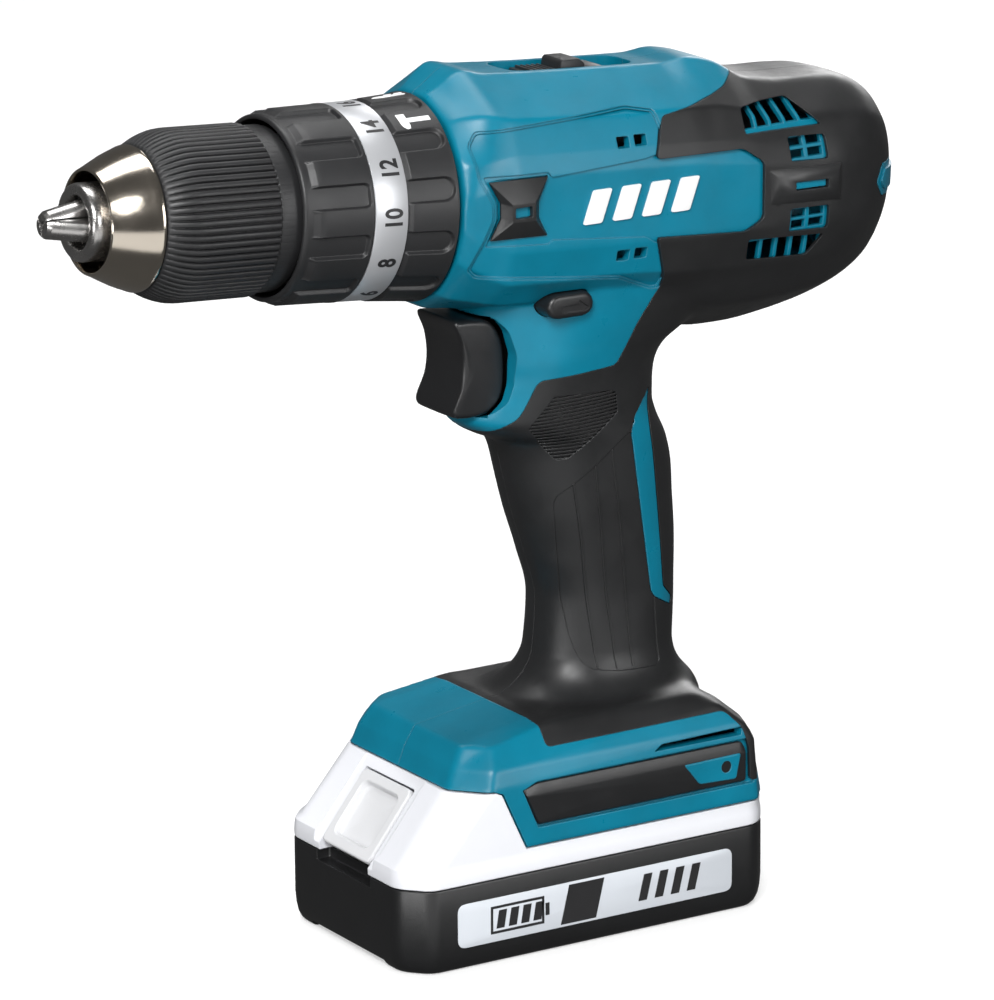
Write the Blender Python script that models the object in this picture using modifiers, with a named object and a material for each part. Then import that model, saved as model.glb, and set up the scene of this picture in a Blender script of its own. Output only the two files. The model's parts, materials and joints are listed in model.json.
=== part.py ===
"""Cordless hammer driver drill with a slide-on battery pack.

Metres, +Z up.  The battery stands on z = 0 with its middle over the origin, the chuck
points to -X and slightly up, and the tool is symmetric about y = 0.
"""
import math
import bpy
import bmesh
from mathutils import Matrix, Vector

MM = 0.001

# ---- driving dimensions (millimetres) -------------------------------------------------
TILT = math.radians(3.09)        # spindle axis, nose up
RING_X = -33.4                   # where the mode ring meets the housing
RING_Z = 210.4
GAP = 0.3
SKIN = 1.3                       # rubber overmould
WALL = 3.2                       # housing wall, rubber included

BAT_FRONT = -56.7
BAT_REAR = 63.3
BAT_W = 71.0
BAT_SEAM = 24.6
BAT_FOOT = 2.7
COVER_TOP = 49.4

SLEEVE_R = 23.3
TORQUE_R = 26.6
BAND_R = 27.0
MODE_R = 28.7
JAW_ANGLE = math.radians(13.0)
FLUTES = 34
PADS = 12

SUN_TEETH = 9
PLANET_TEETH = 9
RING_TEETH = 27
SUN_R = 6.0                      # pitch radii
PLANET_R = 6.0
RING_GEAR_R = 18.0
LATCH_TILT = math.radians(-51.8) # battery front slope

# half sections of the barrel: distance behind the mode ring, then eight (y, z) corners
# measured from the spindle axis, top to bottom
BARREL = [
    (0.4, [(6, 28.6), (18, 22.9), (25.9, 13.5), (28.9, 4.5), (28.9, -4.5), (25.9, -13.5),
           (16.5, -24), (5.5, -28.7)]),
    (2.6, [(7, 30.0), (19.5, 24.2), (27.6, 13), (29.8, 5), (29.8, -6), (26.8, -15),
           (17.5, -25), (6, -29.9)]),
    (10.5, [(8.5, 35.2), (24.5, 25.3), (29.4, 14), (30.4, 7), (30.4, -10), (27.8, -18.5),
            (19, -26.5), (6, -30.6)]),
    (17.0, [(9.5, 34.2), (26, 24.4), (29.6, 15), (31, 9.5), (31, -11.5), (28.6, -20.5),
            (20, -27.5), (6, -31.2)]),
    (45.0, [(9.5, 33.7), (26, 24.0), (29.6, 15), (31, 9.5), (31, -11.5), (28.6, -20.5),
            (20, -28), (6, -31.6)]),
    (73.0, [(9.5, 33.8), (26, 24.0), (29.6, 15), (31, 9.5), (31, -11.5), (28.6, -21),
            (21, -30), (6, -36)]),
    (82.0, [(9.5, 35.0), (25.5, 24.0), (29.4, 15), (31, 9), (31, -11), (28.6, -21),
            (21.5, -31), (6, -38.5)]),
    (90.0, [(10, 33.9), (25.5, 22.8), (29.2, 14.5), (30.9, 8.5), (30.9, -10.5),
            (28.5, -21), (21.7, -31.5), (6, -39.6)]),
    (101.0, [(12.5, 28.9), (25.5, 20), (29, 13), (30.7, 7.5), (30.7, -10), (28.4, -20.5),
             (21.7, -31.5), (6, -39.7)]),
    (113.0, [(13, 27.8), (25.5, 19.2), (28.8, 12.4), (30.3, 6.9), (30.3, -9.5), (28, -20),
             (21.5, -31), (6, -39.2)]),
    (121.5, [(13, 28.0), (25.3, 19.4), (28.5, 12.6), (30, 7.2), (30, -8.9), (27.7, -18.9),
             (21.3, -29.3), (5.9, -37.1)]),
    (128.6, [(12.6, 28.0), (24.4, 19.4), (27.5, 12.6), (28.8, 7.3), (28.8, -8.2),
             (26.6, -17.4), (20.4, -27.1), (5.7, -34.3)]),
    (134.9, [(11.8, 27.1), (22.8, 18.7), (25.6, 12.2), (26.8, 7.1), (26.8, -7.4),
             (24.8, -15.7), (19, -24.4), (5.3, -30.9)]),
    (140.4, [(10.4, 24.9), (20.3, 17.3), (22.9, 11.3), (24, 6.6), (24, -6.7), (22.2, -14),
             (17.1, -21.6), (4.7, -27.2)]),
    (144.7, [(9, 22.1), (17.5, 15.3), (19.7, 10), (20.7, 5.8), (20.7, -6.1), (19.2, -12.1),
             (14.7, -18.5), (4.1, -23.2)]),
    (148.3, [(7.1, 18.3), (14.1, 12.6), (15.9, 8.2), (16.7, 4.6), (16.7, -5.2),
             (15.4, -9.9), (11.9, -14.9), (3.3, -18.7)]),
    (151.0, [(5, 13.3), (9.9, 9), (11.2, 5.7), (11.8, 3), (11.8, -4.3), (10.9, -7.7),
             (8.3, -11.2), (2.3, -13.8)]),
    (153.2, [(1.6, 2.2), (3.2, 0.9), (3.6, 0), (3.7, -0.9), (3.7, -3), (3.5, -4.2),
             (2.7, -5.4), (0.8, -6.4)]),
]

# handle: height, middle x, half depth, half width
HANDLE = [
    (57.0, 23.5, 33.0, 27.0),
    (63.5, 24.5, 31.0, 24.0),
    (67.0, 25.6, 26.6, 20.2),
    (70.5, 26.4, 23.6, 17.8),
    (76.3, 27.3, 21.8, 16.4),
    (91.0, 28.2, 21.6, 15.9),
    (105.0, 26.5, 23.5, 16.4),
    (117.0, 24.2, 25.1, 17.0),
    (130.0, 22.0, 26.2, 17.6),
    (138.5, 19.8, 26.7, 18.2),
    (142.5, 15.0, 30.2, 18.6),
    (146.5, 12.4, 31.8, 19.0),
    (158.0, 15.2, 30.6, 20.8),
    (162.0, 18.0, 34.0, 21.8),
    (165.5, 24.0, 41.0, 22.6),
    (186.0, 26.0, 44.0, 25.0),
]

# base of the handle: height, then front, front corner, rear corner, rear (x, y)
BASE = [
    (31.8, [(-57, 26), (-49, 35.3), (58.4, 35.3), (64.6, 27.5)]),
    (50.0, [(-38.5, 26), (-30, 35.3), (57, 35.3), (60.8, 27.5)]),
    (55.0, [(-36.6, 25.2), (-28.6, 34.2), (54.4, 34.6), (57.6, 26.5)]),
    (60.7, [(-33, 23.5), (-26, 29.8), (48, 31.2), (51, 24.5)]),
    (64.6, [(-8, 21), (-4, 27.2), (41.5, 27.8), (44.8, 22)]),
]

# outline of the rubber seen from the side (x, z)
RUBBER = [
    (66, 262), (64, 236), (57, 233.5), (43, 231), (31.5, 229.5), (27.5, 218.5),
    (56.3, 218), (62.8, 213.6), (62.6, 197.9), (56.8, 195), (27.4, 197), (32.5, 181.5),
    (26, 172), (20.2, 160.4), (-3.6, 158.2), (-8.6, 154.4), (-13, 149.4), (-11.5, 142.2),
    (-34, 139.5), (-34, 75), (-10, 75), (-10, 58.4), (52, 58.7), (56.6, 54.6),
    (59.2, 39.6), (92, 38), (165, 120), (165, 262),
]
TRIGGER_POCKET = [
    (-60, 147.8), (-19.5, 147.8), (-14.5, 149), (-10.6, 152.2), (-8.9, 157), (-8.6, 166),
    (-10.4, 172.5), (-13.4, 176.2), (-60, 176.8),
]
BATTERY_FRONT = [
    (-90, 5), (-18.4, 5), (-18.4, 31.8), (-26.2, 48.6), (-29.4, 49.8), (-90, 49.8),
]
PANEL = [(-19.6, 48.4), (-15, 50.2), (54.6, 50.4), (56.4, 44), (56.4, 37.6), (-14.8, 37.4)]
BOW = [(-25.7, 218.4), (-7.4, 218.0), (-10.2, 211.6), (-10.2, 207), (-7.7, 202.2),
       (-25.5, 202.8), (-22.3, 208), (-22.3, 212.4)]

VENT_UP = [(58.2, 228.4), (77.6, 228.6), (84.6, 221.0), (58.0, 221.4)]
VENT_SQ_UP = [(71.9, 219.2), (84.7, 218.6), (84.9, 211.9), (72.1, 212.5)]
VENT_SQ_LOW = [(71.7, 199.3), (85.0, 198.9), (84.8, 192.3), (71.3, 192.9)]
VENT_LOW = [(57.8, 192.3), (83.9, 190.7), (78.6, 185.2), (57.8, 186.4)]

SCREWS = [(12, 232), (52, 232), (100, 218), (100, 180), (36, 170), (28, 118), (-15.7, 56.1)]
CELL_X = [-40, -20, 0, 20, 40]


# ---- set-up ---------------------------------------------------------------------------
for old in list(bpy.data.objects):
    bpy.data.objects.remove(old, do_unlink=True)

PARTS = bpy.data.collections.new("cordless_drill")
TOOLS = bpy.data.collections.new("cutters")
bpy.context.scene.collection.children.link(PARTS)
bpy.context.scene.collection.children.link(TOOLS)


def material(name, colour, rough, metal=0.0):
    mat = bpy.data.materials.new(name)
    mat.use_nodes = True
    node = mat.node_tree.nodes["Principled BSDF"]
    node.inputs["Base Color"].default_value = (*colour, 1.0)
    node.inputs["Roughness"].default_value = rough
    node.inputs["Metallic"].default_value = metal
    return mat


TEAL = (0.005, 0.19, 0.33)
BLACK = (0.012, 0.012, 0.013)
STEEL = (0.55, 0.53, 0.50)
DARK_STEEL = (0.25, 0.25, 0.26)
WHITE = (0.82, 0.83, 0.85)
COPPER = (0.72, 0.32, 0.14)


def paint(obj, colour, rough=0.45, metal=0.0):
    obj.data.materials.clear()
    obj.data.materials.append(material(obj.name + "_mat", colour, rough, metal))


def link(name, mesh, group=None):
    obj = bpy.data.objects.new(name, mesh)
    (group or PARTS).objects.link(obj)
    return obj


def as_cutter(obj):
    for group in list(obj.users_collection):
        group.objects.unlink(obj)
    TOOLS.objects.link(obj)
    obj.hide_render = True
    obj.display_type = 'WIRE'
    return obj


def from_bmesh(name, bm, group=None):
    bmesh.ops.recalc_face_normals(bm, faces=bm.faces)
    mesh = bpy.data.meshes.new(name)
    bm.to_mesh(mesh)
    bm.free()
    return link(name, mesh, group)


def block(name, low, high, bevel=0.0):
    """Box between two corners, edges optionally rounded."""
    bm = bmesh.new()
    bmesh.ops.create_cube(bm, size=1.0)
    size = [(b - a) * MM for a, b in zip(low, high)]
    mid = [(a + b) / 2 * MM for a, b in zip(low, high)]
    bmesh.ops.scale(bm, vec=size, verts=bm.verts)
    bmesh.ops.translate(bm, vec=mid, verts=bm.verts)
    if bevel:
        bmesh.ops.bevel(bm, geom=bm.edges[:], offset=bevel * MM, segments=2, profile=0.5,
                        affect='EDGES')
    return from_bmesh(name, bm)


def rod(name, radius, low, high, sides=24, r2=None):
    """Round bar along local Z between two heights."""
    bm = bmesh.new()
    bmesh.ops.create_cone(bm, cap_ends=True, segments=sides, radius1=radius * MM,
                          radius2=(radius if r2 is None else r2) * MM,
                          depth=(high - low) * MM)
    bmesh.ops.translate(bm, vec=(0, 0, (low + high) / 2 * MM), verts=bm.verts)
    return from_bmesh(name, bm)


def turned(name, profile, steps=48):
    """Ring or disc turned about local Z; profile is (radius, z) pairs down the outside."""
    mesh = bpy.data.meshes.new(name)
    points = [(r * MM, 0, z * MM) for r, z in profile]
    edges = [(i, i + 1) for i in range(len(points) - 1)]
    if profile[0][0] > 0:
        edges.append((len(points) - 1, 0))
    mesh.from_pydata(points, edges, [])
    obj = link(name, mesh)
    screw = obj.modifiers.new("turn", 'SCREW')
    screw.axis = 'Z'
    screw.angle = 2 * math.pi
    screw.steps = steps
    screw.render_steps = steps
    screw.use_merge_vertices = True
    screw.merge_threshold = 0.00001
    screw.use_normal_calculate = True
    mesh = baked(obj)
    bpy.data.objects.remove(obj, do_unlink=True)
    bm = bmesh.new()
    bm.from_mesh(mesh)
    bmesh.ops.recalc_face_normals(bm, faces=bm.faces)
    bm.to_mesh(mesh)
    bm.free()
    return link(name, mesh)


def prism(name, outline, low, high):
    """Side outline (x, z) drawn out along Y."""
    bm = bmesh.new()
    near = [bm.verts.new((x * MM, low * MM, z * MM)) for x, z in outline]
    face = bm.faces.new(near)
    out = bmesh.ops.extrude_face_region(bm, geom=[face])
    moved = [g for g in out["geom"] if isinstance(g, bmesh.types.BMVert)]
    bmesh.ops.translate(bm, vec=(0, (high - low) * MM, 0), verts=moved)
    return from_bmesh(name, bm)


def offset_outline(outline, distance):
    """Move every side of a closed outline inwards (positive) or outwards."""
    n = len(outline)
    area = sum(outline[i][0] * outline[(i + 1) % n][1]
               - outline[(i + 1) % n][0] * outline[i][1] for i in range(n))
    sign = 1 if area > 0 else -1
    result = []
    for i in range(n):
        a = Vector(outline[i - 1])
        b = Vector(outline[i])
        c = Vector(outline[(i + 1) % n])
        e1 = (b - a).normalized()
        e2 = (c - b).normalized()
        n1 = Vector((-e1.y, e1.x)) * sign
        n2 = Vector((-e2.y, e2.x)) * sign
        mid = (n1 + n2)
        mid = mid / max(mid.length_squared / 2, 0.35)
        result.append(tuple(b + mid * distance))
    return result


def loft(name, rings):
    """Skin a list of equal-length closed rings of points, with flat ends."""
    bm = bmesh.new()
    rows = [[bm.verts.new(Vector(p) * MM) for p in ring] for ring in rings]
    count = len(rows[0])
    for a, b in zip(rows, rows[1:]):
        for i in range(count):
            j = (i + 1) % count
            bm.faces.new((a[i], a[j], b[j], b[i]))
    bm.faces.new(rows[0])
    bm.faces.new(list(reversed(rows[-1])))
    return from_bmesh(name, bm)


def join_meshes(name, pieces):
    """One mesh that holds several separate pieces (used for groups of cutters)."""
    bm = bmesh.new()
    for piece in pieces:
        bm.from_mesh(baked(piece))
        bpy.data.objects.remove(piece, do_unlink=True)
    return from_bmesh(name, bm)


def baked(obj):
    """Evaluated copy of an object's mesh in world space."""
    bpy.context.view_layer.update()
    graph = bpy.context.evaluated_depsgraph_get()
    mesh = bpy.data.meshes.new_from_object(obj.evaluated_get(graph), depsgraph=graph)
    mesh.transform(obj.matrix_world)
    return mesh


def stitch(bm):
    """Close the hair-thin triangles that a cut can leave open."""
    edges = [e for e in bm.edges if len(e.link_faces) == 1]
    if edges:
        bmesh.ops.holes_fill(bm, edges=edges, sides=4)
        bmesh.ops.recalc_face_normals(bm, faces=bm.faces)


def solid(name, obj, group=None):
    """Freeze an object with its modifiers into one clean mesh."""
    mesh = baked(obj)
    bm = bmesh.new()
    bm.from_mesh(mesh)
    bmesh.ops.remove_doubles(bm, verts=bm.verts, dist=0.000002)
    stitch(bm)
    bm.to_mesh(mesh)
    bm.free()
    bpy.data.objects.remove(obj, do_unlink=True)
    return link(name, mesh, group)


def boolean(obj, other, operation='DIFFERENCE'):
    mod = obj.modifiers.new(operation.lower(), 'BOOLEAN')
    mod.operation = operation
    mod.solver = 'EXACT'
    mod.object = other
    if other.name not in TOOLS.objects:
        as_cutter(other)
    return obj


def smooth(obj, angle=32.0):
    mesh = obj.data
    mesh.shade_smooth()
    mesh.set_sharp_from_angle(angle=math.radians(angle))
    return obj


def place_on_axis(obj, forward=0.0):
    """Local +Z along the spindle towards the nose, origin on the axis."""
    x = (RING_X - forward * math.cos(TILT)) * MM
    z = (RING_Z + forward * math.sin(TILT)) * MM
    obj.location = (x, 0, z)
    obj.rotation_euler = (0, -(math.pi / 2 - TILT), 0)
    return obj


def axis_world(back, y, up):
    """World millimetres of a point given behind the mode ring and above the axis."""
    x = RING_X + back * math.cos(TILT) + up * math.sin(TILT)
    z = RING_Z - back * math.sin(TILT) + up * math.cos(TILT)
    return (x, y, z)


# ---- housing envelope -----------------------------------------------------------------
def barrel(name, inset, coarse):
    rings = []
    for back, half in ([BARREL[i] for i in (0, 2, 4, 6, 8, 10, 12, 14, 16)] if coarse
                       else BARREL):
        ring = []
        scale = [max(0.2, 1 - inset / max(math.hypot(y, z), 1)) for y, z in half]
        right = [(y * k, z * k) for (y, z), k in zip(half, scale)]
        points = right + [(-y, z) for y, z in reversed(right)]
        shift = inset if back < 2 else 0
        if back > 134:
            shift = -inset * (back - 134) / 19.2
        for y, z in points:
            ring.append(axis_world(back + shift, y, z))
        rings.append(ring)
    return loft(name, rings)


def handle(name, inset, coarse):
    rings = []
    count = 10 if coarse else 14
    for z, mid, deep, wide in (HANDLE[::2] if coarse else HANDLE):
        ring = []
        a = deep - inset
        b = wide - inset
        for i in range(count):
            t = 2 * math.pi * (i + 0.5) / count
            c = math.cos(t)
            s = math.sin(t)
            x = mid + a * math.copysign(abs(c) ** 0.86, c)
            y = b * math.copysign(abs(s) ** 0.86, s)
            ring.append((x, y, z))
        rings.append(ring)
    return loft(name, rings)


def base(name, inset):
    rings = []
    for z, half in BASE:
        low = z + (inset if z < 40 else 0)
        level = low - (inset if z > 64 else 0)
        pts = []
        for i, (x, y) in enumerate(half):
            front = i < 2
            pts.append((x + (inset if front else -inset), -(y - inset), level))
        back = [(x, -y, level) for x, y, level in reversed(pts)]
        rings.append(pts + back)
    return loft(name, rings)


def envelope(name, inset, coarse=False):
    body = barrel(name + "_barrel", inset, coarse)
    boolean(body, handle(name + "_handle", inset, coarse), 'UNION')
    boolean(body, base(name + "_base", inset), 'UNION')
    body = solid(name, body)
    return as_cutter(body)


def box_cutter(name, low, high):
    return as_cutter(block(name, low, high))


def vent_slots():
    """Slots through the housing wall behind the rubber's vent windows, both sides."""
    boxes = []
    for i in range(4):
        x = 59.3 + i * 5.6
        top = 227.6 - max(0, i - 2) * 3.2
        boxes.append(block("slot", (x, -60, 222.3), (x + 4.0, 60, top)))
        low = 186.9 + max(0, i - 2) * 2.4
        boxes.append(block("slot", (x, -60, low), (x + 4.0, 60, 190.9)))
    for z0, z1 in ((212.9, 217.8), (193.4, 198.0)):
        boxes.append(block("slot", (73.4, -60, z0), (77.7, 60, z1)))
        boxes.append(block("slot", (79.3, -60, z0), (83.8, 60, z1)))
    for z0 in (223.3, 188.7):
        for x in (16.5, 22.2):
            boxes.append(block("slot", (x, -60, z0), (x + 3.6, 60, z0 + 3.4)))
    return as_cutter(join_meshes("vent_slots", boxes))


def screw_cutter():
    """Counterbores from the right side for the housing screws."""
    tools = []
    for x, z in SCREWS:
        for radius, low, high in ((1.45, -8, 40), (3.4, 9.2, 60)):
            tool = rod("bore", radius, low, high, 8 if radius < 2 else 10)
            tool.rotation_euler = (-math.pi / 2, 0, 0)
            tool.location = (x * MM, 0, z * MM)
            tools.append(tool)
    return tools


def bosses(side):
    """Screw posts that reach from the wall to the parting plane."""
    posts = []
    for x, z in SCREWS:
        low, high = (0.15, 36) if side > 0 else (-36, -0.15)
        post = rod("boss", 4.8, low, high, 8)
        post.rotation_euler = (-math.pi / 2, 0, 0)
        post.location = (x * MM, 0, z * MM)
        posts.append(post)
    return posts


def build_housing():
    outer = envelope("outer_form", 0.0)
    under = envelope("under_rubber", SKIN + 2.3 * GAP)
    skin_in = envelope("rubber_inside", SKIN)
    cavity = envelope("hollow", WALL, True)
    boss_limit = envelope("boss_limit", SKIN + 3.5 * GAP)
    slots = vent_slots()
    pocket = as_cutter(prism("trigger_pocket", TRIGGER_POCKET, -40, 40))
    opening = prism("trigger_opening_raw", TRIGGER_POCKET, -40, 40)
    boolean(opening, block("switch_room", (-24, -11.3, 148.3), (30, 11.3, 176.5)), 'UNION')
    opening = as_cutter(solid("trigger_opening", opening))
    front = as_cutter(prism("battery_front", BATTERY_FRONT, -60, 60))
    rail = box_cutter("rail_pocket", (-60, -27, 20), (58.5, 27, 46.4))
    mouth = place_on_axis(rod("gear_mouth", 25.6, -14, 8, 40))
    mouth = as_cutter(mouth)
    selector = place_on_axis(block("selector_pocket", (26, -7.4, -68), (45, 7.4, -28)))
    selector = as_cutter(selector)
    reverse = as_cutter(prism("reverse_slot", pill(2.6, 180.4, 15.4, 7.6), -60, 60))
    ring = solid("rubber_ring", boolean(prism("rubber_ring_raw", RUBBER, -70, 70), under))
    as_cutter(ring)
    windows = []
    for outline in (VENT_UP, VENT_SQ_UP, VENT_SQ_LOW, VENT_LOW):
        windows.append(prism("window", outline, -70, 70))
    windows = as_cutter(join_meshes("vent_windows", windows))
    panel = as_cutter(join_meshes("panel_seats", [
        prism("seat", offset_outline(PANEL, -GAP), -70, -35.3 + 1.3),
        prism("seat", offset_outline(PANEL, -GAP), 35.3 - 1.3, 70)]))
    bow = as_cutter(join_meshes("bow_seats", [
        prism("seat", offset_outline(BOW, -GAP), -70, -29.4),
        prism("seat", offset_outline(BOW, -GAP), 29.4, 70)]))
    skin_zone = as_cutter(prism("skin_zone", offset_outline(RUBBER, GAP), -70, 70))
    slot_base = as_cutter(join_meshes("base_slots", [
        block("slot", (24, -70, 53.2), (54, -29, 55.4)),
        block("slot", (24, 29, 53.2), (54, 70, 55.4))]))
    bore = screw_cutter()
    for tool in bore:
        as_cutter(tool)
    far = box_cutter("far_half", (-200, -0.15, -10), (260, 120, 300))
    shell = link("shell_raw", outer.data.copy())
    boolean(shell, cavity)
    boolean(shell, far)
    left_shell = solid("shell_half", shell)
    skin = link("skin_raw", outer.data.copy())
    boolean(skin, skin_zone, 'INTERSECT')
    boolean(skin, skin_in)
    boolean(skin, far)
    for tool in (pocket, front, windows):
        boolean(skin, tool)
    left_skin = solid("rubber_left", skin)
    right_skin = mirrored("rubber_right_raw", left_skin)
    for tool in bore:
        boolean(right_skin, tool)
    right_skin = solid("rubber_right", right_skin)
    for skin in (left_skin, right_skin):
        paint(skin, BLACK, 0.6)
        smooth(skin)
    right_shell = mirrored("shell_half_right", left_shell)
    for side, tag, shell in ((-1, "left", left_shell), (1, "right", right_shell)):
        for post in bosses(side):
            inside = solid("post_in", boolean(post, boss_limit, 'INTERSECT'))
            boolean(shell, inside, 'UNION')
        shell = solid("shell_b_" + tag, shell)
        for tool in (ring, opening, front, rail, mouth, selector, reverse, slots, panel,
                     bow, slot_base):
            boolean(shell, tool)
        for tool in bore:
            boolean(shell, tool)
        shell = solid("housing_" + tag, shell)
        paint(shell, TEAL, 0.38)
        smooth(shell)


def mirrored(name, obj):
    """Mirror image of an object across the parting plane."""
    bm = bmesh.new()
    bm.from_mesh(obj.data)
    for vert in bm.verts:
        vert.co.y = -vert.co.y
    bmesh.ops.reverse_faces(bm, faces=bm.faces)
    mesh = bpy.data.meshes.new(name)
    bm.to_mesh(mesh)
    bm.free()
    return link(name, mesh)


def pill(cx, cz, length, height, count=6):
    """Long-hole outline in the side view."""
    r = height / 2
    points = []
    for centre, start in ((cx + length / 2 - r, -90), (cx - length / 2 + r, 90)):
        for i in range(count + 1):
            a = math.radians(start + 180 * i / count)
            points.append((centre + r * math.cos(a), cz + r * math.sin(a)))
    return points


# ---- turned and ribbed rings ----------------------------------------------------------
def ring_rows(name, rows):
    """Closed ring from rows of (angle, radius, height) points, last row joins the first."""
    bm = bmesh.new()
    grid = []
    for row in rows:
        line = []
        for angle, radius, z in row:
            x = radius * math.cos(angle) * MM
            y = radius * math.sin(angle) * MM
            line.append(bm.verts.new((x, y, z * MM)))
        grid.append(line)
    count = len(grid[0])
    for k, row in enumerate(grid):
        nxt = grid[(k + 1) % len(grid)]
        for i in range(count):
            j = (i + 1) % count
            bm.faces.new((row[i], row[j], nxt[j], nxt[i]))
    return from_bmesh(name, bm)


def waved(count, high, low, z):
    """Row of flutes: two points high, two points low."""
    row = []
    for i in range(count):
        step = 2 * math.pi / count
        for part, radius in ((0.06, high), (0.44, high), (0.56, low), (0.94, low)):
            row.append(((i + part) * step, radius, z))
    return row


def plain(count, radius, z):
    return waved(count, radius, radius, z)


def fluted(count, high, low, z):
    row = []
    for i in range(count):
        step = 2 * math.pi / count
        row.append((i * step, high, z))
        row.append(((i + 0.5) * step, low, z))
    return row


def gear_row(teeth, root, tip, phase, z):
    row = []
    pitch = 2 * math.pi / teeth
    for i in range(teeth):
        centre = i * pitch + phase
        row.append((centre - 0.25 * pitch, root, z))
        row.append((centre - 0.12 * pitch, tip, z))
        row.append((centre + 0.12 * pitch, tip, z))
        row.append((centre + 0.25 * pitch, root, z))
    return row


def gear(name, teeth, radius, bore, phase, low, high):
    """Spur gear with a bore; an internal gear has a bore larger than its teeth."""
    inside = bore > radius
    root = radius + (1.0 if inside else -1.0)
    tip = radius + (-0.7 if inside else 0.7)
    top = gear_row(teeth, root, tip, phase, high)
    bottom = gear_row(teeth, root, tip, phase, low)
    top_bore = [(a, bore, high) for a, r, z in top]
    bottom_bore = [(a, bore, low) for a, r, z in top]
    return ring_rows(name, [top, bottom, bottom_bore, top_bore])


def build_chuck():
    body = turned("chuck_body_raw", [(10.6, 102.8), (11.4, 101.8), (11.4, 92),
                                     (16.8, 80), (16.8, 50), (6.9, 50), (6.9, 102.8)], 28)
    for i in range(3):
        tunnel = rod("jaw_tunnel", 3.9, -53.5, 6, 16)
        aim_jaw(tunnel, i)
        boolean(body, tunnel)
    body = solid("chuck_body", body)
    place_on_axis(body)
    paint(body, DARK_STEEL, 0.35, 1.0)
    smooth(body)
    for i in range(3):
        jaw = rod("jaw_blank", 3.5, -31.4, 0.3, 20)
        bore = aim_jaw(rod("tip_cone", 12, -34, 0, 20, 12), i)
        trim = turned("tip_trim", [(3.0, 112.4), (3.9, 110.9), (30, 109.5), (30, 140),
                                   (3.0, 140)], 24)
        as_cutter(bore)
        aim_jaw(jaw, i)
        for sign in (-1, 1):
            wall = block("jaw_side", (-40, 0, 60), (40, 60, 130))
            wall.rotation_euler = (0, 0, i * 2 * math.pi / 3 + sign * math.pi / 3
                                   + (0 if sign > 0 else math.pi))
            normal = wall.rotation_euler.z + math.pi / 2
            wall.location = (-0.22 * MM * math.cos(normal), -0.22 * MM * math.sin(normal), 0)
            boolean(jaw, wall)
        boolean(jaw, rod("grip_hole", 0.9, 60, 130, 12))
        boolean(jaw, trim)
        jaw = solid("jaw_%d" % (i + 1), jaw)
        place_on_axis(jaw)
        paint(jaw, STEEL, 0.3, 1.0)
        smooth(jaw)
        bpy.data.objects.remove(bore, do_unlink=True)
    cone = turned("nose_cone", [(12.0, 98.5), (12.5, 99.3), (13.3, 99.2),
                                (15.6, 95.2), (17.6, 91.2), (19.1, 87.4), (19.6, 85.6),
                                (19.3, 84.9), (16.2, 84.9), (12.0, 93.2)], 40)
    place_on_axis(cone)
    paint(cone, STEEL, 0.22, 1.0)
    smooth(cone)
    rows = [fluted(FLUTES, 19.3, 19.2, 84.6), fluted(FLUTES, 22.6, 21.9, 79.5),
            fluted(FLUTES, 23.3, 22.4, 74),
            fluted(FLUTES, 23.3, 22.4, 53.0), fluted(FLUTES, 22.4, 22.3, 52.2),
            fluted(FLUTES, 22.4, 22.4, 45.2), fluted(FLUTES, 17.2, 17.2, 45.2),
            fluted(FLUTES, 17.2, 17.2, 84.6)]
    sleeve = place_on_axis(ring_rows("chuck_sleeve", rows))
    paint(sleeve, BLACK, 0.5)
    smooth(sleeve, 20)
    screw = turned("chuck_screw", [(0, 60.2), (4.4, 60.2), (5.2, 59.4), (5.2, 58.0),
                                   (2.0, 58.0), (2.0, 44), (0, 44)], 20)
    place_on_axis(screw)
    paint(screw, DARK_STEEL, 0.4, 1.0)


def aim_jaw(obj, index):
    """Bar along a jaw's own line: leans JAW_ANGLE out from the axis as it goes back."""
    turn = index * 2 * math.pi / 3
    obj.matrix_world = (Matrix.Rotation(turn, 4, 'Z')
                        @ Matrix.Translation((0, 0, 111.6 * MM))
                        @ Matrix.Rotation(-JAW_ANGLE, 4, 'Y'))
    return obj


def build_rings():
    rows = [plain(PADS, 24.2, 46.7), plain(PADS, 25.2, 44.6),
            waved(PADS, 26.3, 25.3, 42.8),
            waved(PADS, 26.6, 25.8, 27.6), plain(PADS, 26.5, 26.1), plain(PADS, 25.3, 26.1),
            plain(PADS, 25.3, 15.9), plain(PADS, 23.7, 15.9), plain(PADS, 23.4, 46.7)]
    torque = place_on_axis(ring_rows("torque_ring", rows))
    paint(torque, BLACK, 0.5)
    smooth(torque, 25)
    band = turned("number_band", [(26.65, 25.8), (27.0, 16.0), (25.6, 16.0), (25.6, 25.8)],
                  40)
    place_on_axis(band)
    paint(band, (0.62, 0.64, 0.66), 0.35, 0.6)
    smooth(band)
    rows = [plain(PADS, 27.2, 15.6), waved(PADS, 27.3, 26.5, 14.4),
            waved(PADS, 27.9, 27.0, 5.0), plain(PADS, 28.5, 3.4), plain(PADS, 28.7, 0.7),
            plain(PADS, 23.6, 0.7), plain(PADS, 23.6, 15.6)]
    mode = place_on_axis(ring_rows("mode_ring", rows))
    paint(mode, BLACK, 0.5)
    smooth(mode, 25)


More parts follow.
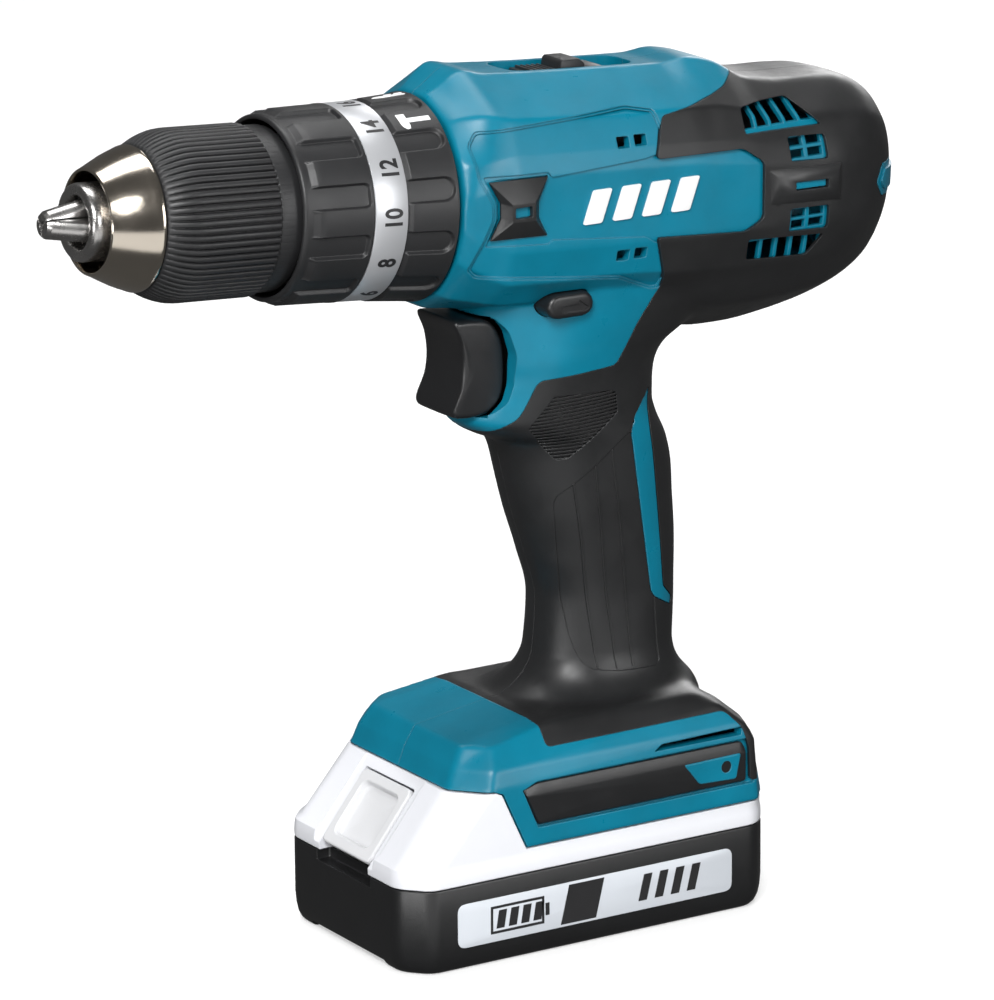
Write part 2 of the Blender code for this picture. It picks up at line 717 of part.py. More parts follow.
def build_gears():
    case = turned("gear_case", [(14.6, 44), (14.6, 40), (19.6, 40), (19.6, 13), (23.2, 13),
                                (23.2, -1), (24.6, -1), (24.6, -38), (22.7, -38),
                                (22.7, -4), (17.6, -4), (17.6, 34), (9.6, 34), (9.6, 36.2),
                                (11.5, 36.2), (11.5, 44)], 28)
    place_on_axis(case)
    paint(case, (0.35, 0.36, 0.37), 0.5, 0.8)
    smooth(case)
    bearing = turned("spindle_bearing", [(11.2, 43.5), (11.2, 36.5), (7.0, 36.5),
                                         (7.0, 43.5)], 28)
    place_on_axis(bearing)
    paint(bearing, STEEL, 0.25, 1.0)
    spindle = turned("spindle_raw", [(2.3, 57.7), (6.6, 57.7), (6.6, -15), (16.4, -15),
                                     (16.4, -19.5), (0, -19.5), (0, 42), (2.3, 42)], 28)
    for i in range(3):
        pin = rod("pin", 2.0, -33.6, -17, 10)
        angle = i * 2 * math.pi / 3
        pin.location = (12 * MM * math.cos(angle), 12 * MM * math.sin(angle), 0)
        boolean(spindle, pin, 'UNION')
    spindle = solid("spindle", spindle)
    place_on_axis(spindle)
    paint(spindle, DARK_STEEL, 0.35, 1.0)
    smooth(spindle)
    ring = place_on_axis(gear("ring_gear", RING_TEETH, RING_GEAR_R, 22.4,
                              math.pi / RING_TEETH, -34, -22))
    paint(ring, DARK_STEEL, 0.45, 1.0)
    for i in range(3):
        wheel = gear("planet_gear_%d" % (i + 1), PLANET_TEETH, PLANET_R, 2.3, 0,
                     -33, -22.5)
        angle = i * 2 * math.pi / 3
        wheel.rotation_euler = (0, 0, 0)
        place_on_axis(wheel)
        centre = Matrix.Rotation(wheel.rotation_euler.y, 4, 'Y')
        shift = centre @ Vector((12 * MM * math.cos(angle), 12 * MM * math.sin(angle), 0))
        wheel.data.transform(Matrix.Rotation(angle, 4, 'Z'))
        wheel.location = Vector(wheel.location) + shift
        paint(wheel, STEEL, 0.4, 1.0)
    sun = place_on_axis(gear("motor_pinion", SUN_TEETH, SUN_R, 2.6, 0, -33.5, -23))
    paint(sun, STEEL, 0.4, 1.0)
    turns = 4
    steps = 12
    curve = bpy.data.curves.new("clutch_spring_path", 'CURVE')
    curve.dimensions = '3D'
    curve.bevel_depth = 0.9 * MM
    curve.bevel_resolution = 0
    curve.use_fill_caps = True
    line = curve.splines.new('POLY')
    line.points.add(turns * steps)
    for i in range(turns * steps + 1):
        a = 2 * math.pi * i / steps
        z = 15.6 + 22.4 * i / (turns * steps)
        line.points[i].co = (22.1 * MM * math.cos(a), 22.1 * MM * math.sin(a), z * MM, 1)
    path = bpy.data.objects.new("clutch_path", curve)
    PARTS.objects.link(path)
    spring = solid("clutch_spring", path)
    place_on_axis(spring)
    paint(spring, STEEL, 0.35, 1.0)
    smooth(spring, 60)


def build_motor():
    can = turned("motor_can", [(18.6, -50), (18.6, -104), (17.4, -104), (17.4, -51.4),
                               (4.6, -51.4), (4.6, -50)], 32)
    place_on_axis(can)
    paint(can, (0.3, 0.3, 0.31), 0.4, 0.9)
    smooth(can)
    for side, tag in ((-1, "left"), (1, "right")):
        arc = turned("magnet_raw", [(17.1, -58), (17.1, -96), (14.7, -96), (14.7, -58)], 24)
        boolean(arc, block("magnet_cut", (-30, -60 if side > 0 else -5, -120),
                           (30, 5 if side > 0 else 60, -40)))
        arc = place_on_axis(solid("magnet_" + tag, arc))
        paint(arc, (0.08, 0.08, 0.085), 0.7)
        smooth(arc)
    rotor = turned("armature", [(0, -22), (2.4, -22), (2.4, -55), (9.5, -56), (10.5, -60),
                                (13.9, -60.4), (13.9, -93.6), (10.5, -94), (9.5, -98),
                                (5.2, -98.6), (5.2, -107.6), (2.4, -108), (2.4, -113.2),
                                (0, -113.2)], 18)
    place_on_axis(rotor)
    paint(rotor, COPPER, 0.45, 0.7)
    smooth(rotor)
    fan = turned("fan_raw", [(2.7, -40.4), (5.5, -40.4), (6.5, -46.2), (16.6, -46.8),
                             (16.6, -48), (2.7, -48)], 24)
    for i in range(8):
        blade = block("blade", (5, -0.6, -47.4), (16.2, 0.6, -41.2))
        blade.rotation_euler = (0, 0, i * math.pi / 4 + 0.1)
        boolean(fan, blade, 'UNION')
    fan = place_on_axis(solid("cooling_fan", fan))
    paint(fan, (0.05, 0.05, 0.055), 0.55)
    holder = turned("brush_holder", [(18.4, -104.4), (18.4, -114), (6.4, -114),
                                     (6.4, -104.4)], 24)
    place_on_axis(holder)
    paint(holder, (0.10, 0.09, 0.08), 0.6)
    rear = turned("motor_bearing", [(6.1, -108.6), (6.1, -113.4), (2.7, -113.4),
                                    (2.7, -108.6)], 20)
    place_on_axis(rear)
    paint(rear, STEEL, 0.25, 1.0)


def build_controls():
    outline = [(-24.6, 175.5), (-22.9, 170.5), (-22.3, 164), (-23.2, 157.5), (-25.3, 152.6),
               (-25.5, 150.4), (-23.9, 148.9), (-18, 148.6), (-13.6, 149.8), (-10.4, 153),
               (-9.2, 158), (-9.2, 166), (-11, 171.6), (-13.8, 174.8), (-18, 175.8)]
    trigger = prism("trigger", outline, -10.4, 10.4)
    bevel = trigger.modifiers.new("round", 'BEVEL')
    bevel.width = 2.2 * MM
    bevel.segments = 2
    bevel.limit_method = 'ANGLE'
    bevel.angle_limit = math.radians(50)
    trigger = solid("trigger_button", trigger)
    paint(trigger, BLACK, 0.45)
    smooth(trigger, 40)
    lever = prism("lever_raw", pill(2.6, 180.3, 14.8, 7.0), -26.2, 21.4)
    tunnel = place_on_axis(rod("lever_relief", 25.2, -60, 10, 32))
    boolean(lever, tunnel)
    lever = solid("reverse_lever", lever)
    paint(lever, BLACK, 0.4)
    smooth(lever)
    # local axes here: X up, Y across, Z towards the nose
    slider = block("slider_plate", (30.4, -6.9, -59.6), (32.3, 6.9, -35))
    boolean(slider, block("slider_tab", (31, -5.2, -52.6), (35.6, 5.2, -44.6)), 'UNION')
    for i in range(3):
        rib = block("slider_rib", (31.5, -5.6, -37.4 - 2.3 * i), (33.0, 5.6, -36.2 - 2.3 * i))
        boolean(slider, rib, 'UNION')
    step = block("slider_step", (31.2, -5.2, -58.6), (33.4, 5.2, -52.0))
    boolean(slider, step, 'UNION')
    slider = place_on_axis(solid("speed_selector", slider))
    paint(slider, BLACK, 0.5)
    switch = block("switch_unit", (-1.2, -10.8, 149), (27.5, 10.8, 173), 0.8)
    paint(switch, (0.03, 0.03, 0.03), 0.5)
    terminal = block("terminal_raw", (-8, -15, 47.2), (40, 15, 55.5))
    for y in (-9, 9):
        blade = block("blade", (4, y - 0.5, 33.5), (30, y + 0.5, 48))
        boolean(terminal, blade, 'UNION')
    terminal = solid("terminal_block", terminal)
    paint(terminal, (0.45, 0.30, 0.05), 0.5)
    for y, colour, tag in ((-4.5, (0.45, 0.01, 0.01), "red"), (4.5, BLACK, "black")):
        curve = bpy.data.curves.new("lead_" + tag, 'CURVE')
        curve.dimensions = '3D'
        curve.bevel_depth = 1.1 * MM
        curve.bevel_resolution = 2
        curve.use_fill_caps = True
        line = curve.splines.new('POLY')
        way = [(16, 148.6), (15.5, 140), (14, 122), (16.5, 100), (20, 84), (20, 68), (17, 55.9)]
        line.points.add(len(way) - 1)
        for i, (x, z) in enumerate(way):
            line.points[i].co = (x * MM, y * MM, z * MM, 1)
        path = bpy.data.objects.new("path_" + tag, curve)
        PARTS.objects.link(path)
        lead = solid("lead_" + tag, path)
        paint(lead, colour, 0.5)
        smooth(lead, 60)


def build_pads():
    for side, tag in ((-1, "left"), (1, "right")):
        pad = pad_block("base_pad_" + tag, PANEL, side, 34.35, 35.7)
        paint(pad, BLACK, 0.6)
        pad = pad_block("side_pad_" + tag, BOW, side, 29.7, 31.9)
        paint(pad, BLACK, 0.6)


def pad_block(name, outline, side, inner, outer):
    low, high = (inner, outer) if side > 0 else (-outer, -inner)
    pad = prism(name + "_raw", outline, low, high)
    bevel = pad.modifiers.new("edge", 'BEVEL')
    bevel.width = 0.4 * MM
    bevel.segments = 1
    bevel.limit_method = 'ANGLE'
    bevel.angle_limit = math.radians(60)
    return solid(name, pad)


def build_screws():
    for i, (x, z) in enumerate(SCREWS):
        screw = turned("housing_screw_%d" % (i + 1), [(0, 12.2), (2.8, 11.8), (2.8, 9.6),
                                                      (1.2, 9.6), (1.2, -6), (0, -7.2)],
                       10)
        screw.location = (x * MM, 0, z * MM)
        screw.rotation_euler = (-math.pi / 2, 0, 0)
        paint(screw, DARK_STEEL, 0.4, 1.0)


def octagon(front, corner, side, rear_corner, rear, rear_side, z):
    half = [(front, corner), (side[0], side[1]), (rear_corner[0], rear_corner[1]),
            (rear, rear_side)]
    near = [(x, -y, z) for x, y in half]
    far = [(x, y, z) for x, y in reversed(half)]
    return near + far


def build_battery():
    def ring(inset, z):
        w = BAT_W / 2 - inset
        return octagon(BAT_FRONT + inset, 27.7 - inset / 2, (-49.5 + inset / 2, w),
                       (57.6 - inset / 2, w), BAT_REAR - inset, 30 - inset / 2, z)
    case = loft("case_raw", [ring(4.2, 2.7), ring(1.4, 4.0), ring(0.4, 6.4), ring(0, 9),
                             ring(0, BAT_SEAM)])
    boolean(case, block("foot_pad", (-38, -24, 0), (40, 24, 5)), 'UNION')
    for x0, x1 in ((-52, -42), (48, 58)):
        for y0, y1 in ((-30, -21), (21, 30)):
            boolean(case, block("foot", (x0, y0, 0), (x1, y1, 5)), 'UNION')
    boolean(case, block("cell_room", (-53, -33.2, 5.4), (57.4, 33.2, 40)))
    notch = as_cutter(block("latch_notch", (-70, -14.4, 21.6), (-50, 14.4, 29)))
    boolean(case, notch)
    case = solid("battery_case", case)
    paint(case, BLACK, 0.45)
    smooth(case)
    slab = prism("slab", [(-58, BAT_SEAM + GAP), (65, BAT_SEAM + GAP), (65, 31.5),
                          (-18.9, 31.5), (-26.7, 48.4), (-29.7, COVER_TOP),
                          (-58, COVER_TOP)], -36, 36)
    form = loft("cover_form", [ring(0, BAT_SEAM + 0.1), ring(0.1, 29.0),
                               octagon(-38.9, 25.9, (-30.6, 35.2), (57.2, 35.2), 62.9, 30, 50)])
    boolean(form, slab, 'INTERSECT')
    boolean(form, block("rail_neck", (-26, -20.5, 29), (55, 20.5, 40)), 'UNION')
    boolean(form, block("rail_head", (-26, -24.5, 37), (55, 24.5, 44.5)), 'UNION')
    for y in (-9, 9):
        boolean(form, block("contact_slot", (0, y - 1.2, 33), (60, y + 1.2, 46)))
    boolean(form, block("cover_room", (-53, -33, 20), (57.4, 33, 28.9)))
    boolean(form, block("cover_room_2", (-37.5, -29, 28), (-21.5, 29, 45)))
    pocket = block("latch_pocket", (-20, -13.2, -5.2), (12.5, 13.2, 8))
    aim_latch(pocket)
    boolean(form, pocket)
    boolean(form, notch)
    cover = solid("battery_cover", form)
    paint(cover, WHITE, 0.4)
    smooth(cover)
    latch = block("latch_raw", (-11.6, -12.8, -3.4), (12.0, 12.8, 0.5), 0.7)
    dish = block("latch_dish", (-8.4, -9.6, -1.6), (8.8, 9.6, 4), 0.8)
    boolean(latch, dish)
    latch = solid("battery_latch", latch)
    aim_latch(latch)
    paint(latch, (0.70, 0.71, 0.72), 0.4)
    smooth(latch)
    for i, x in enumerate(CELL_X):
        cell = rod("cell_%d" % (i + 1), 9.1, -32.4, 32.4, 16)
        cell.rotation_euler = (-math.pi / 2, 0, 0)
        cell.location = (x * MM, 0, 15.0 * MM)
        paint(cell, (0.05, 0.22, 0.10), 0.4)
        smooth(cell)
    for side, tag in ((-1, "left"), (1, "right")):
        label = prism("label", rounded(-41.5, 49.0, 6.9, 19.5, 2.6),
                      -35.8 if side < 0 else 35.55, -35.55 if side < 0 else 35.8)
        label.name = "battery_label_" + tag
        paint(label, (0.60, 0.62, 0.65), 0.4)


def aim_latch(obj):
    """Local X up the battery's front slope, local Z out of it."""
    obj.matrix_world = (Matrix.Translation((-48.9 * MM, 0, 36.9 * MM))
                        @ Matrix.Rotation(LATCH_TILT, 4, 'Y'))
    return obj


def rounded(x0, x1, z0, z1, r):
    points = []
    for cx, cz, start in ((x1 - r, z0 + r, -90), (x1 - r, z1 - r, 0), (x0 + r, z1 - r, 90),
                          (x0 + r, z0 + r, 180)):
        for i in range(4):
            a = math.radians(start + 30 * i)
            points.append((cx + r * math.cos(a), cz + r * math.sin(a)))
    return points


build_housing()
build_chuck()
build_rings()
build_gears()
build_motor()
build_controls()
build_pads()
build_screws()
build_battery()
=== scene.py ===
"""Looks for the cordless hammer drill: moulded shells, rings, chuck, battery and studio."""
import json
import math
import bpy
import bmesh
import numpy as np
from mathutils import Matrix, Vector


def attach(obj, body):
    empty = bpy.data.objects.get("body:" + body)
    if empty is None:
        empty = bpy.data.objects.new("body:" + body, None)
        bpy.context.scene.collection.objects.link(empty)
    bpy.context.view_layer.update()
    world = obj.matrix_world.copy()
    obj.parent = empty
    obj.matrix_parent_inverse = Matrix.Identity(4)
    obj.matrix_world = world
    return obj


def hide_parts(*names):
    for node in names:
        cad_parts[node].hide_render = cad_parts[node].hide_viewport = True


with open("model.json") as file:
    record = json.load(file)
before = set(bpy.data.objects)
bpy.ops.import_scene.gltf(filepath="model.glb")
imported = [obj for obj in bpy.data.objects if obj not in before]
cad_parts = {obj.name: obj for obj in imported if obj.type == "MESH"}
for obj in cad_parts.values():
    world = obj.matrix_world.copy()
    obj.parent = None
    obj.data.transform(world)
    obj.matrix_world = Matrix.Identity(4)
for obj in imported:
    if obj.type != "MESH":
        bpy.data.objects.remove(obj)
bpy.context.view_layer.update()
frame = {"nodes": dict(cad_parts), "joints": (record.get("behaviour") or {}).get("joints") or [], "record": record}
JOINTS = {joint["name"]: joint for joint in frame["joints"]}

# ---- measures, millimetres -------------------------------------------------------------
MM = 0.001
ORIGIN = Vector(JOINTS["chuck_spin"]["pos_m"]) / MM      # where the mode ring meets the shell
NOSE = Vector(JOINTS["chuck_spin"]["axis"])              # towards the chuck's tip
UP = Vector((NOSE.z, 0.0, -NOSE.x))                      # across the spindle, upwards
VOXEL = 0.7                       # grid that blends the body form
RUBBER_T = 1.4                                           # rubber skin
SEAM = 0.22                                              # gap between skin and shell
WALL = 3.6                                               # plastic shell with its skin

PADS = 12                                                # pads around each turning ring
FLUTES = 72                                              # ribs around the chuck sleeve
JAW_APEX = 111.6                                         # where the three jaws meet
JAW_LEAN = math.radians(13)                              # jaws to the spindle
SIDES = ((-1, "left"), (1, "right"))

# half sections of the barrel: distance behind the mode ring, then eight (y, z) corners
# from the spindle axis, top to bottom
BARREL = [
    (0.4, [(6, 28.6), (18, 22.9), (25.9, 13.5), (28.9, 4.5), (28.9, -4.5), (25.9, -13.5),
           (16.5, -24), (5.5, -28.7)]),
    (2.6, [(7, 30.0), (19.5, 24.2), (27.6, 13), (29.8, 5), (29.8, -6), (26.8, -15),
           (17.5, -25), (6, -29.9)]),
    (10.5, [(8.5, 35.2), (24.5, 25.3), (29.4, 14), (30.4, 7), (30.4, -10), (27.8, -18.5),
            (19, -26.5), (6, -30.6)]),
    (17.0, [(9.5, 34.2), (26, 24.4), (29.6, 15), (31, 9.5), (31, -11.5), (28.6, -20.5),
            (20, -27.5), (6, -31.2)]),
    (45.0, [(9.5, 33.7), (26, 24.0), (29.6, 15), (31, 9.5), (31, -11.5), (28.6, -20.5),
            (20, -28), (6, -31.6)]),
    (73.0, [(9.5, 33.8), (26, 24.0), (29.6, 15), (31, 9.5), (31, -11), (28.6, -21),
            (21, -30), (6, -36)]),
    (82.0, [(9.5, 35.0), (25.5, 24.0), (29.4, 15), (31, 9), (31, -11), (28.6, -21),
            (21.5, -31.5), (6, -40.0)]),
    (90.0, [(10, 33.9), (25.5, 22.8), (29.2, 14.5), (30.9, 8.5), (30.9, -10.5),
            (28.5, -21), (21.7, -32.6), (6, -42.2)]),
    (101.0, [(12.5, 28.9), (25.5, 20), (29, 13), (30.7, 7.5), (30.7, -10), (28.4, -20.5),
             (21.7, -32.4), (6, -41.8)]),
    (113.0, [(13, 27.8), (25.5, 19.2), (28.8, 12.4), (30.3, 6.9), (30.3, -9.5), (28, -20),
             (21.5, -31.4), (6, -39.9)]),
    (121.5, [(13, 28.0), (25.3, 19.4), (28.5, 12.6), (30, 7.2), (30, -8.9), (27.7, -18.9),
             (21.3, -30), (5.9, -38)]),
    (128.6, [(12.6, 28.0), (24.4, 19.4), (27.5, 12.6), (28.8, 7.3), (28.8, -8.2),
             (26.6, -17.4), (20.4, -28.2), (5.7, -36)]),
    (134.9, [(11.8, 27.1), (22.8, 18.7), (25.6, 12.2), (26.8, 7.1), (26.8, -7.4),
             (24.8, -15.7), (19, -25.8), (5.3, -33.2)]),
    (140.4, [(10.4, 24.9), (20.3, 17.3), (22.9, 11.3), (24, 6.6), (24, -6.7), (22.2, -14),
             (17.1, -23), (4.7, -29.4)]),
    (144.7, [(9, 22.1), (17.5, 15.3), (19.7, 10), (20.7, 5.8), (20.7, -6.1), (19.2, -12.1),
             (14.9, -19.5), (4.1, -24.8)]),
    (148.3, [(7.1, 18.3), (14.1, 12.6), (15.9, 8.2), (16.7, 4.6), (16.7, -5.2),
             (15.4, -9.9), (12.1, -15.5), (3.3, -19.6)]),
    (151.0, [(5, 13.3), (9.9, 9), (11.2, 5.7), (11.8, 3), (11.8, -4.3), (10.9, -7.7),
             (8.3, -11.2), (2.3, -13.8)]),
    (153.2, [(1.6, 2.2), (3.2, 0.9), (3.6, 0), (3.7, -0.9), (3.7, -3), (3.5, -4.2),
             (2.7, -5.4), (0.8, -6.4)]),
]
# handle: height, middle x, half depth, half width
HANDLE = [
    (57.0, 23.5, 33.0, 27.0), (63.5, 24.5, 31.0, 24.0), (67.0, 25.6, 26.6, 20.2),
    (70.5, 26.4, 23.6, 17.8), (76.3, 27.3, 21.8, 16.4), (91.0, 28.2, 21.6, 15.9),
    (105.0, 26.5, 23.5, 16.4), (117.0, 24.2, 25.1, 17.0), (130.0, 22.0, 26.2, 17.6),
    (138.5, 19.1, 26.0, 18.2), (142.5, 14.1, 29.3, 18.6), (146.5, 11.5, 30.9, 19.0),
    (158.0, 13.6, 29.0, 20.8), (163.0, 14.8, 30.8, 21.8), (168.0, 19.0, 35.5, 22.6),
    (186.0, 24.0, 41.0, 25.0),
]
# foot of the handle: height, then front, front corner, rear corner, rear (x, y)
BASE = [
    (31.8, [(-57, 26), (-49, 35.3), (58.4, 35.3), (64.6, 27.5)]),
    (50.0, [(-38.5, 26), (-30, 35.3), (57, 35.3), (60.8, 27.5)]),
    (55.0, [(-36.6, 25.2), (-28.6, 34.2), (54.4, 34.6), (57.6, 26.5)]),
    (60.7, [(-33, 23.5), (-26, 29.8), (48, 31.2), (51, 24.5)]),
    (64.6, [(-8, 21), (-4, 27.2), (41.5, 27.8), (44.8, 22)]),
]

# outlines in the side view (x, z)
RUBBER = [
    (66, 262), (64, 236), (57, 233.5), (43, 231), (31.5, 229.5), (27.5, 218.5),
    (56.3, 218), (62.8, 213.6), (62.6, 197.9), (56.8, 195), (27.4, 197), (32.5, 181.5),
    (26, 172), (20.2, 160.4), (-2.2, 158.4), (-3.6, 157.2), (-6.2, 151.6), (-8.4, 147.8),
    (-11.4, 145.9), (-14, 143.9), (-34, 141.5), (-34, 75), (-10, 75), (-10, 58.4),
    (48.5, 59), (53, 54), (55.1, 47.5), (55.4, 38), (92, 37.6), (165, 120), (165, 262),
]
TRIGGER_POCKET = [
    (-60, 147.8), (-19.5, 147.8), (-14.5, 149), (-10.6, 152.2), (-8.9, 157), (-8.6, 166),
    (-10.4, 172.5), (-13.4, 176.2), (-60, 176.8),
]
BATTERY_FRONT = [
    (-90, 5), (-18.4, 5), (-18.4, 31.8), (-26.2, 48.6), (-29.4, 49.8), (-90, 49.8),
]
PANEL = [(-19.6, 48.4), (-15, 50.2), (54.6, 50.4), (56.4, 44), (56.4, 37.6), (-14.8, 37.4)]
BOW = [(-25.7, 218.4), (-7.4, 218.0), (-10.2, 211.6), (-10.2, 207), (-7.7, 202.2),
       (-25.5, 202.8), (-22.3, 208), (-22.3, 212.4)]
VENTS = [
    [(58.2, 228.4), (77.6, 228.6), (84.6, 221.0), (58.0, 221.4)],
    [(71.9, 219.2), (84.7, 218.6), (84.9, 211.9), (72.1, 212.5)],
    [(71.7, 199.3), (85.0, 198.9), (84.8, 192.3), (71.3, 192.9)],
    [(57.8, 192.3), (83.9, 190.7), (78.6, 185.2), (57.8, 186.4)],
]
SIDE_RECESS = [
    (-28.6, 227.6), (-26.2, 230.8), (21.6, 232.3), (29.0, 230.8), (31.5, 222),
    (31.5, 181.8), (29.2, 181.9), (17.2, 187.0), (-28.0, 192.6), (-30.3, 194.8),
    (-27.6, 202), (-24.3, 208), (-24.3, 212.6), (-27.9, 219.2),
]
BAND_RECESS = [
    (-26.8, 219.8), (-6.9, 219.2), (-6.0, 217.6), (24.4, 219.0), (27.6, 219.6), (70, 219.2),
    (70, 192.6), (27.4, 195.4), (24.2, 197.4), (-6.0, 200.4), (-7.1, 199.4), (-26.9, 200.9),
    (-23.4, 207.6), (-23.4, 212.6),
]
REAR_BOSS = [(64.6, 211.0), (88.6, 210.3), (88.4, 200.3), (64.9, 201.3)]
PATCH = [(1.4, 153.6), (20.0, 152.9), (21.6, 151.8), (22.6, 146.0), (7.2, 134.3),
         (4.4, 134.1), (-5.5, 144.8)]
GRIP_PANEL = [(4.7, 121.2), (5.4, 123.6), (8.3, 125.8), (15.8, 131.5), (20.9, 135.7),
              (27.4, 140.4), (32, 128), (36, 100), (38, 70.4), (23.1, 71.1), (16, 72.3),
              (13.8, 73.6), (12.4, 75.9), (10.9, 80.8), (10, 87.3), (8.4, 98.7), (6.3, 110.5)]
GRIP_LINES = [
    ((9.6, 126.8), (12.6, 110.3), (15.1, 92.9), (16.5, 80.7), (17.2, 72.6)),
    ((15.8, 131.3), (18.3, 111.9), (20.3, 94.7), (22.3, 80), (23, 71.6)),
    ((20.9, 135.4), (23.7, 117.9), (26.2, 97.3), (27.6, 80.4), (28.3, 71.4)),
]
GRIP_INLAY = [(36.1, 150.8), (29.1, 143.6), (27.4, 139.5), (30.1, 123.5), (33.2, 105),
              (35.5, 91.7), (36.9, 89.7), (44, 85.7), (44.9, 88.1), (40.7, 92.2),
              (38.4, 112.9), (35.4, 137.9)]
REAR_BAR = [(104.2, 201.9), (107.4, 206.9), (140, 206.4), (140, 196.2), (107.4, 197.2)]
TAB = [(32.9, 46.6), (52.0, 46.9), (50.4, 39.6), (38.1, 40.1)]


# ---- mesh helpers ----------------------------------------------------------------------
def link(name, data):
    obj = bpy.data.objects.new(name, data)
    bpy.context.scene.collection.objects.link(obj)
    return obj


def mesh_object(name, points, faces):
    mesh = bpy.data.meshes.new(name)
    mesh.from_pydata([tuple(p) for p in points], [], [tuple(f) for f in faces])
    bm = bmesh.new()
    bm.from_mesh(mesh)
    bmesh.ops.recalc_face_normals(bm, faces=bm.faces)
    bm.to_mesh(mesh)
    bm.free()
    return link(name, mesh)


def from_bmesh(name, bm):
    mesh = bpy.data.meshes.new(name)
    bm.to_mesh(mesh)
    bm.free()
    return link(name, mesh)


def drop(*objects):
    for obj in objects:
        bpy.data.objects.remove(obj, do_unlink=True)


def copy_of(obj, name):
    return link(name, obj.data.copy())


def freeze(obj):
    """Apply an object's modifiers and its place to its mesh."""
    bpy.context.view_layer.update()
    graph = bpy.context.evaluated_depsgraph_get()
    mesh = bpy.data.meshes.new_from_object(obj.evaluated_get(graph), depsgraph=graph)
    mesh.transform(obj.matrix_world)
    obj.modifiers.clear()
    obj.data = mesh
    obj.matrix_world = Matrix.Identity(4)
    return obj


def cut(obj, tool, operation='DIFFERENCE'):
    """Cut with a tool, which is used up, or join it or keep what it covers."""
    mod = obj.modifiers.new("cut", 'BOOLEAN')
    mod.operation = operation
    mod.solver = 'MANIFOLD'
    mod.object = tool
    freeze(obj)
    drop(tool)
    return obj


def loft(name, rings):
    """Closed skin through equal rings (an array of rings, points, xyz in millimetres)."""
    rings = np.asarray(rings, float)
    rows, count = rings.shape[:2]
    points = rings.reshape(-1, 3).tolist()
    faces = []
    for k in range(rows - 1):
        for i in range(count):
            j = (i + 1) % count
            faces.append((k * count + i, k * count + j, (k + 1) * count + j, (k + 1) * count + i))
    for k in (0, rows - 1):
        points.append(rings[k].mean(axis=0).tolist())
        middle = len(points) - 1
        for i in range(count):
            faces.append((k * count + i, k * count + (i + 1) % count, middle))
    return mesh_object(name, np.array(points) * MM, faces)


def drawn_out(name, layers):
    """Solid with flat ends through equal outlines (xyz in millimetres)."""
    count, last = len(layers[0]), len(layers) - 1
    faces = [tuple(range(count)), tuple(range(last * count, (last + 1) * count))]
    for k in range(last):
        for i in range(count):
            j = (i + 1) % count
            faces.append((k * count + i, k * count + j, (k + 1) * count + j, (k + 1) * count + i))
    return mesh_object(name, [tuple(v * MM for v in p) for row in layers for p in row], faces)


def prism(name, outline, low, high):
    """Side outline (x, z) drawn out along Y."""
    return drawn_out(name, [[(x, y, z) for x, z in outline] for y in (low, high)])


def block(name, low, high, bevel=0.0, segments=3):
    bm = bmesh.new()
    bmesh.ops.create_cube(bm, size=1.0)
    bmesh.ops.scale(bm, vec=[(b - a) * MM for a, b in zip(low, high)], verts=bm.verts)
    bmesh.ops.translate(bm, vec=[(a + b) / 2 * MM for a, b in zip(low, high)], verts=bm.verts)
    if bevel:
        bmesh.ops.bevel(bm, geom=bm.edges[:], offset=bevel * MM, segments=segments,
                        profile=0.5, affect='EDGES')
    return from_bmesh(name, bm)


def rod(name, radius, low, high, sides=64):
    bm = bmesh.new()
    bmesh.ops.create_cone(bm, cap_ends=True, segments=sides, radius1=radius * MM,
                          radius2=radius * MM, depth=(high - low) * MM)
    bmesh.ops.translate(bm, vec=(0, 0, (low + high) / 2 * MM), verts=bm.verts)
    return from_bmesh(name, bm)


def turned(name, profile, steps=160):
    """Closed ring turned about local Z from (radius, z) corners."""
    angles = np.arange(steps) * 2 * math.pi / steps
    rows = np.array([[(r * math.cos(a), r * math.sin(a), z) for a in angles]
                     for r, z in profile])
    return ring_of_rows(name, rows)


def ring_of_rows(name, rows):
    """Ring whose cross section is a closed loop of rows (rows, angles, xyz)."""
    count, steps = rows.shape[:2]
    faces = []
    for k in range(count):
        n = (k + 1) % count
        for i in range(steps):
            j = (i + 1) % steps
            faces.append((k * steps + i, k * steps + j, n * steps + j, n * steps + i))
    return mesh_object(name, rows.reshape(-1, 3) * MM, faces)


def axis_matrix():
    """Local +Z along the spindle to the nose, +X up, origin on the axis, in metres."""
    turned_frame = Matrix((UP, NOSE.cross(UP), NOSE)).transposed().to_4x4()
    return Matrix.Translation(ORIGIN * MM) @ turned_frame


def on_axis(obj):
    obj.data.transform(axis_matrix())
    return obj


def smooth(obj, angle=35.0):
    obj.data.shade_smooth()
    obj.data.set_sharp_from_angle(angle=math.radians(angle))
    return obj


def bevelled(obj, width, segments=3, angle=40.0):
    mod = obj.modifiers.new("bevel", 'BEVEL')
    mod.width = width * MM
    mod.segments = segments
    mod.limit_method = 'ANGLE'
    mod.angle_limit = math.radians(angle)
    return freeze(obj)


def rounded_outline(outline, radius, count=5):
    """Replace the corners of a closed outline by arcs."""
    result = []
    n = len(outline)
    for i in range(n):
        a, b, c = (Vector(outline[i - 1]), Vector(outline[i]), Vector(outline[(i + 1) % n]))
        before, after = (a - b), (c - b)
        reach = min(radius, before.length * 0.45, after.length * 0.45)
        p, q = b + before.normalized() * reach, b + after.normalized() * reach
        for k in range(count + 1):
            t = k / count
            result.append(tuple((1 - t) ** 2 * p + 2 * t * (1 - t) * b + t * t * q))
    return result


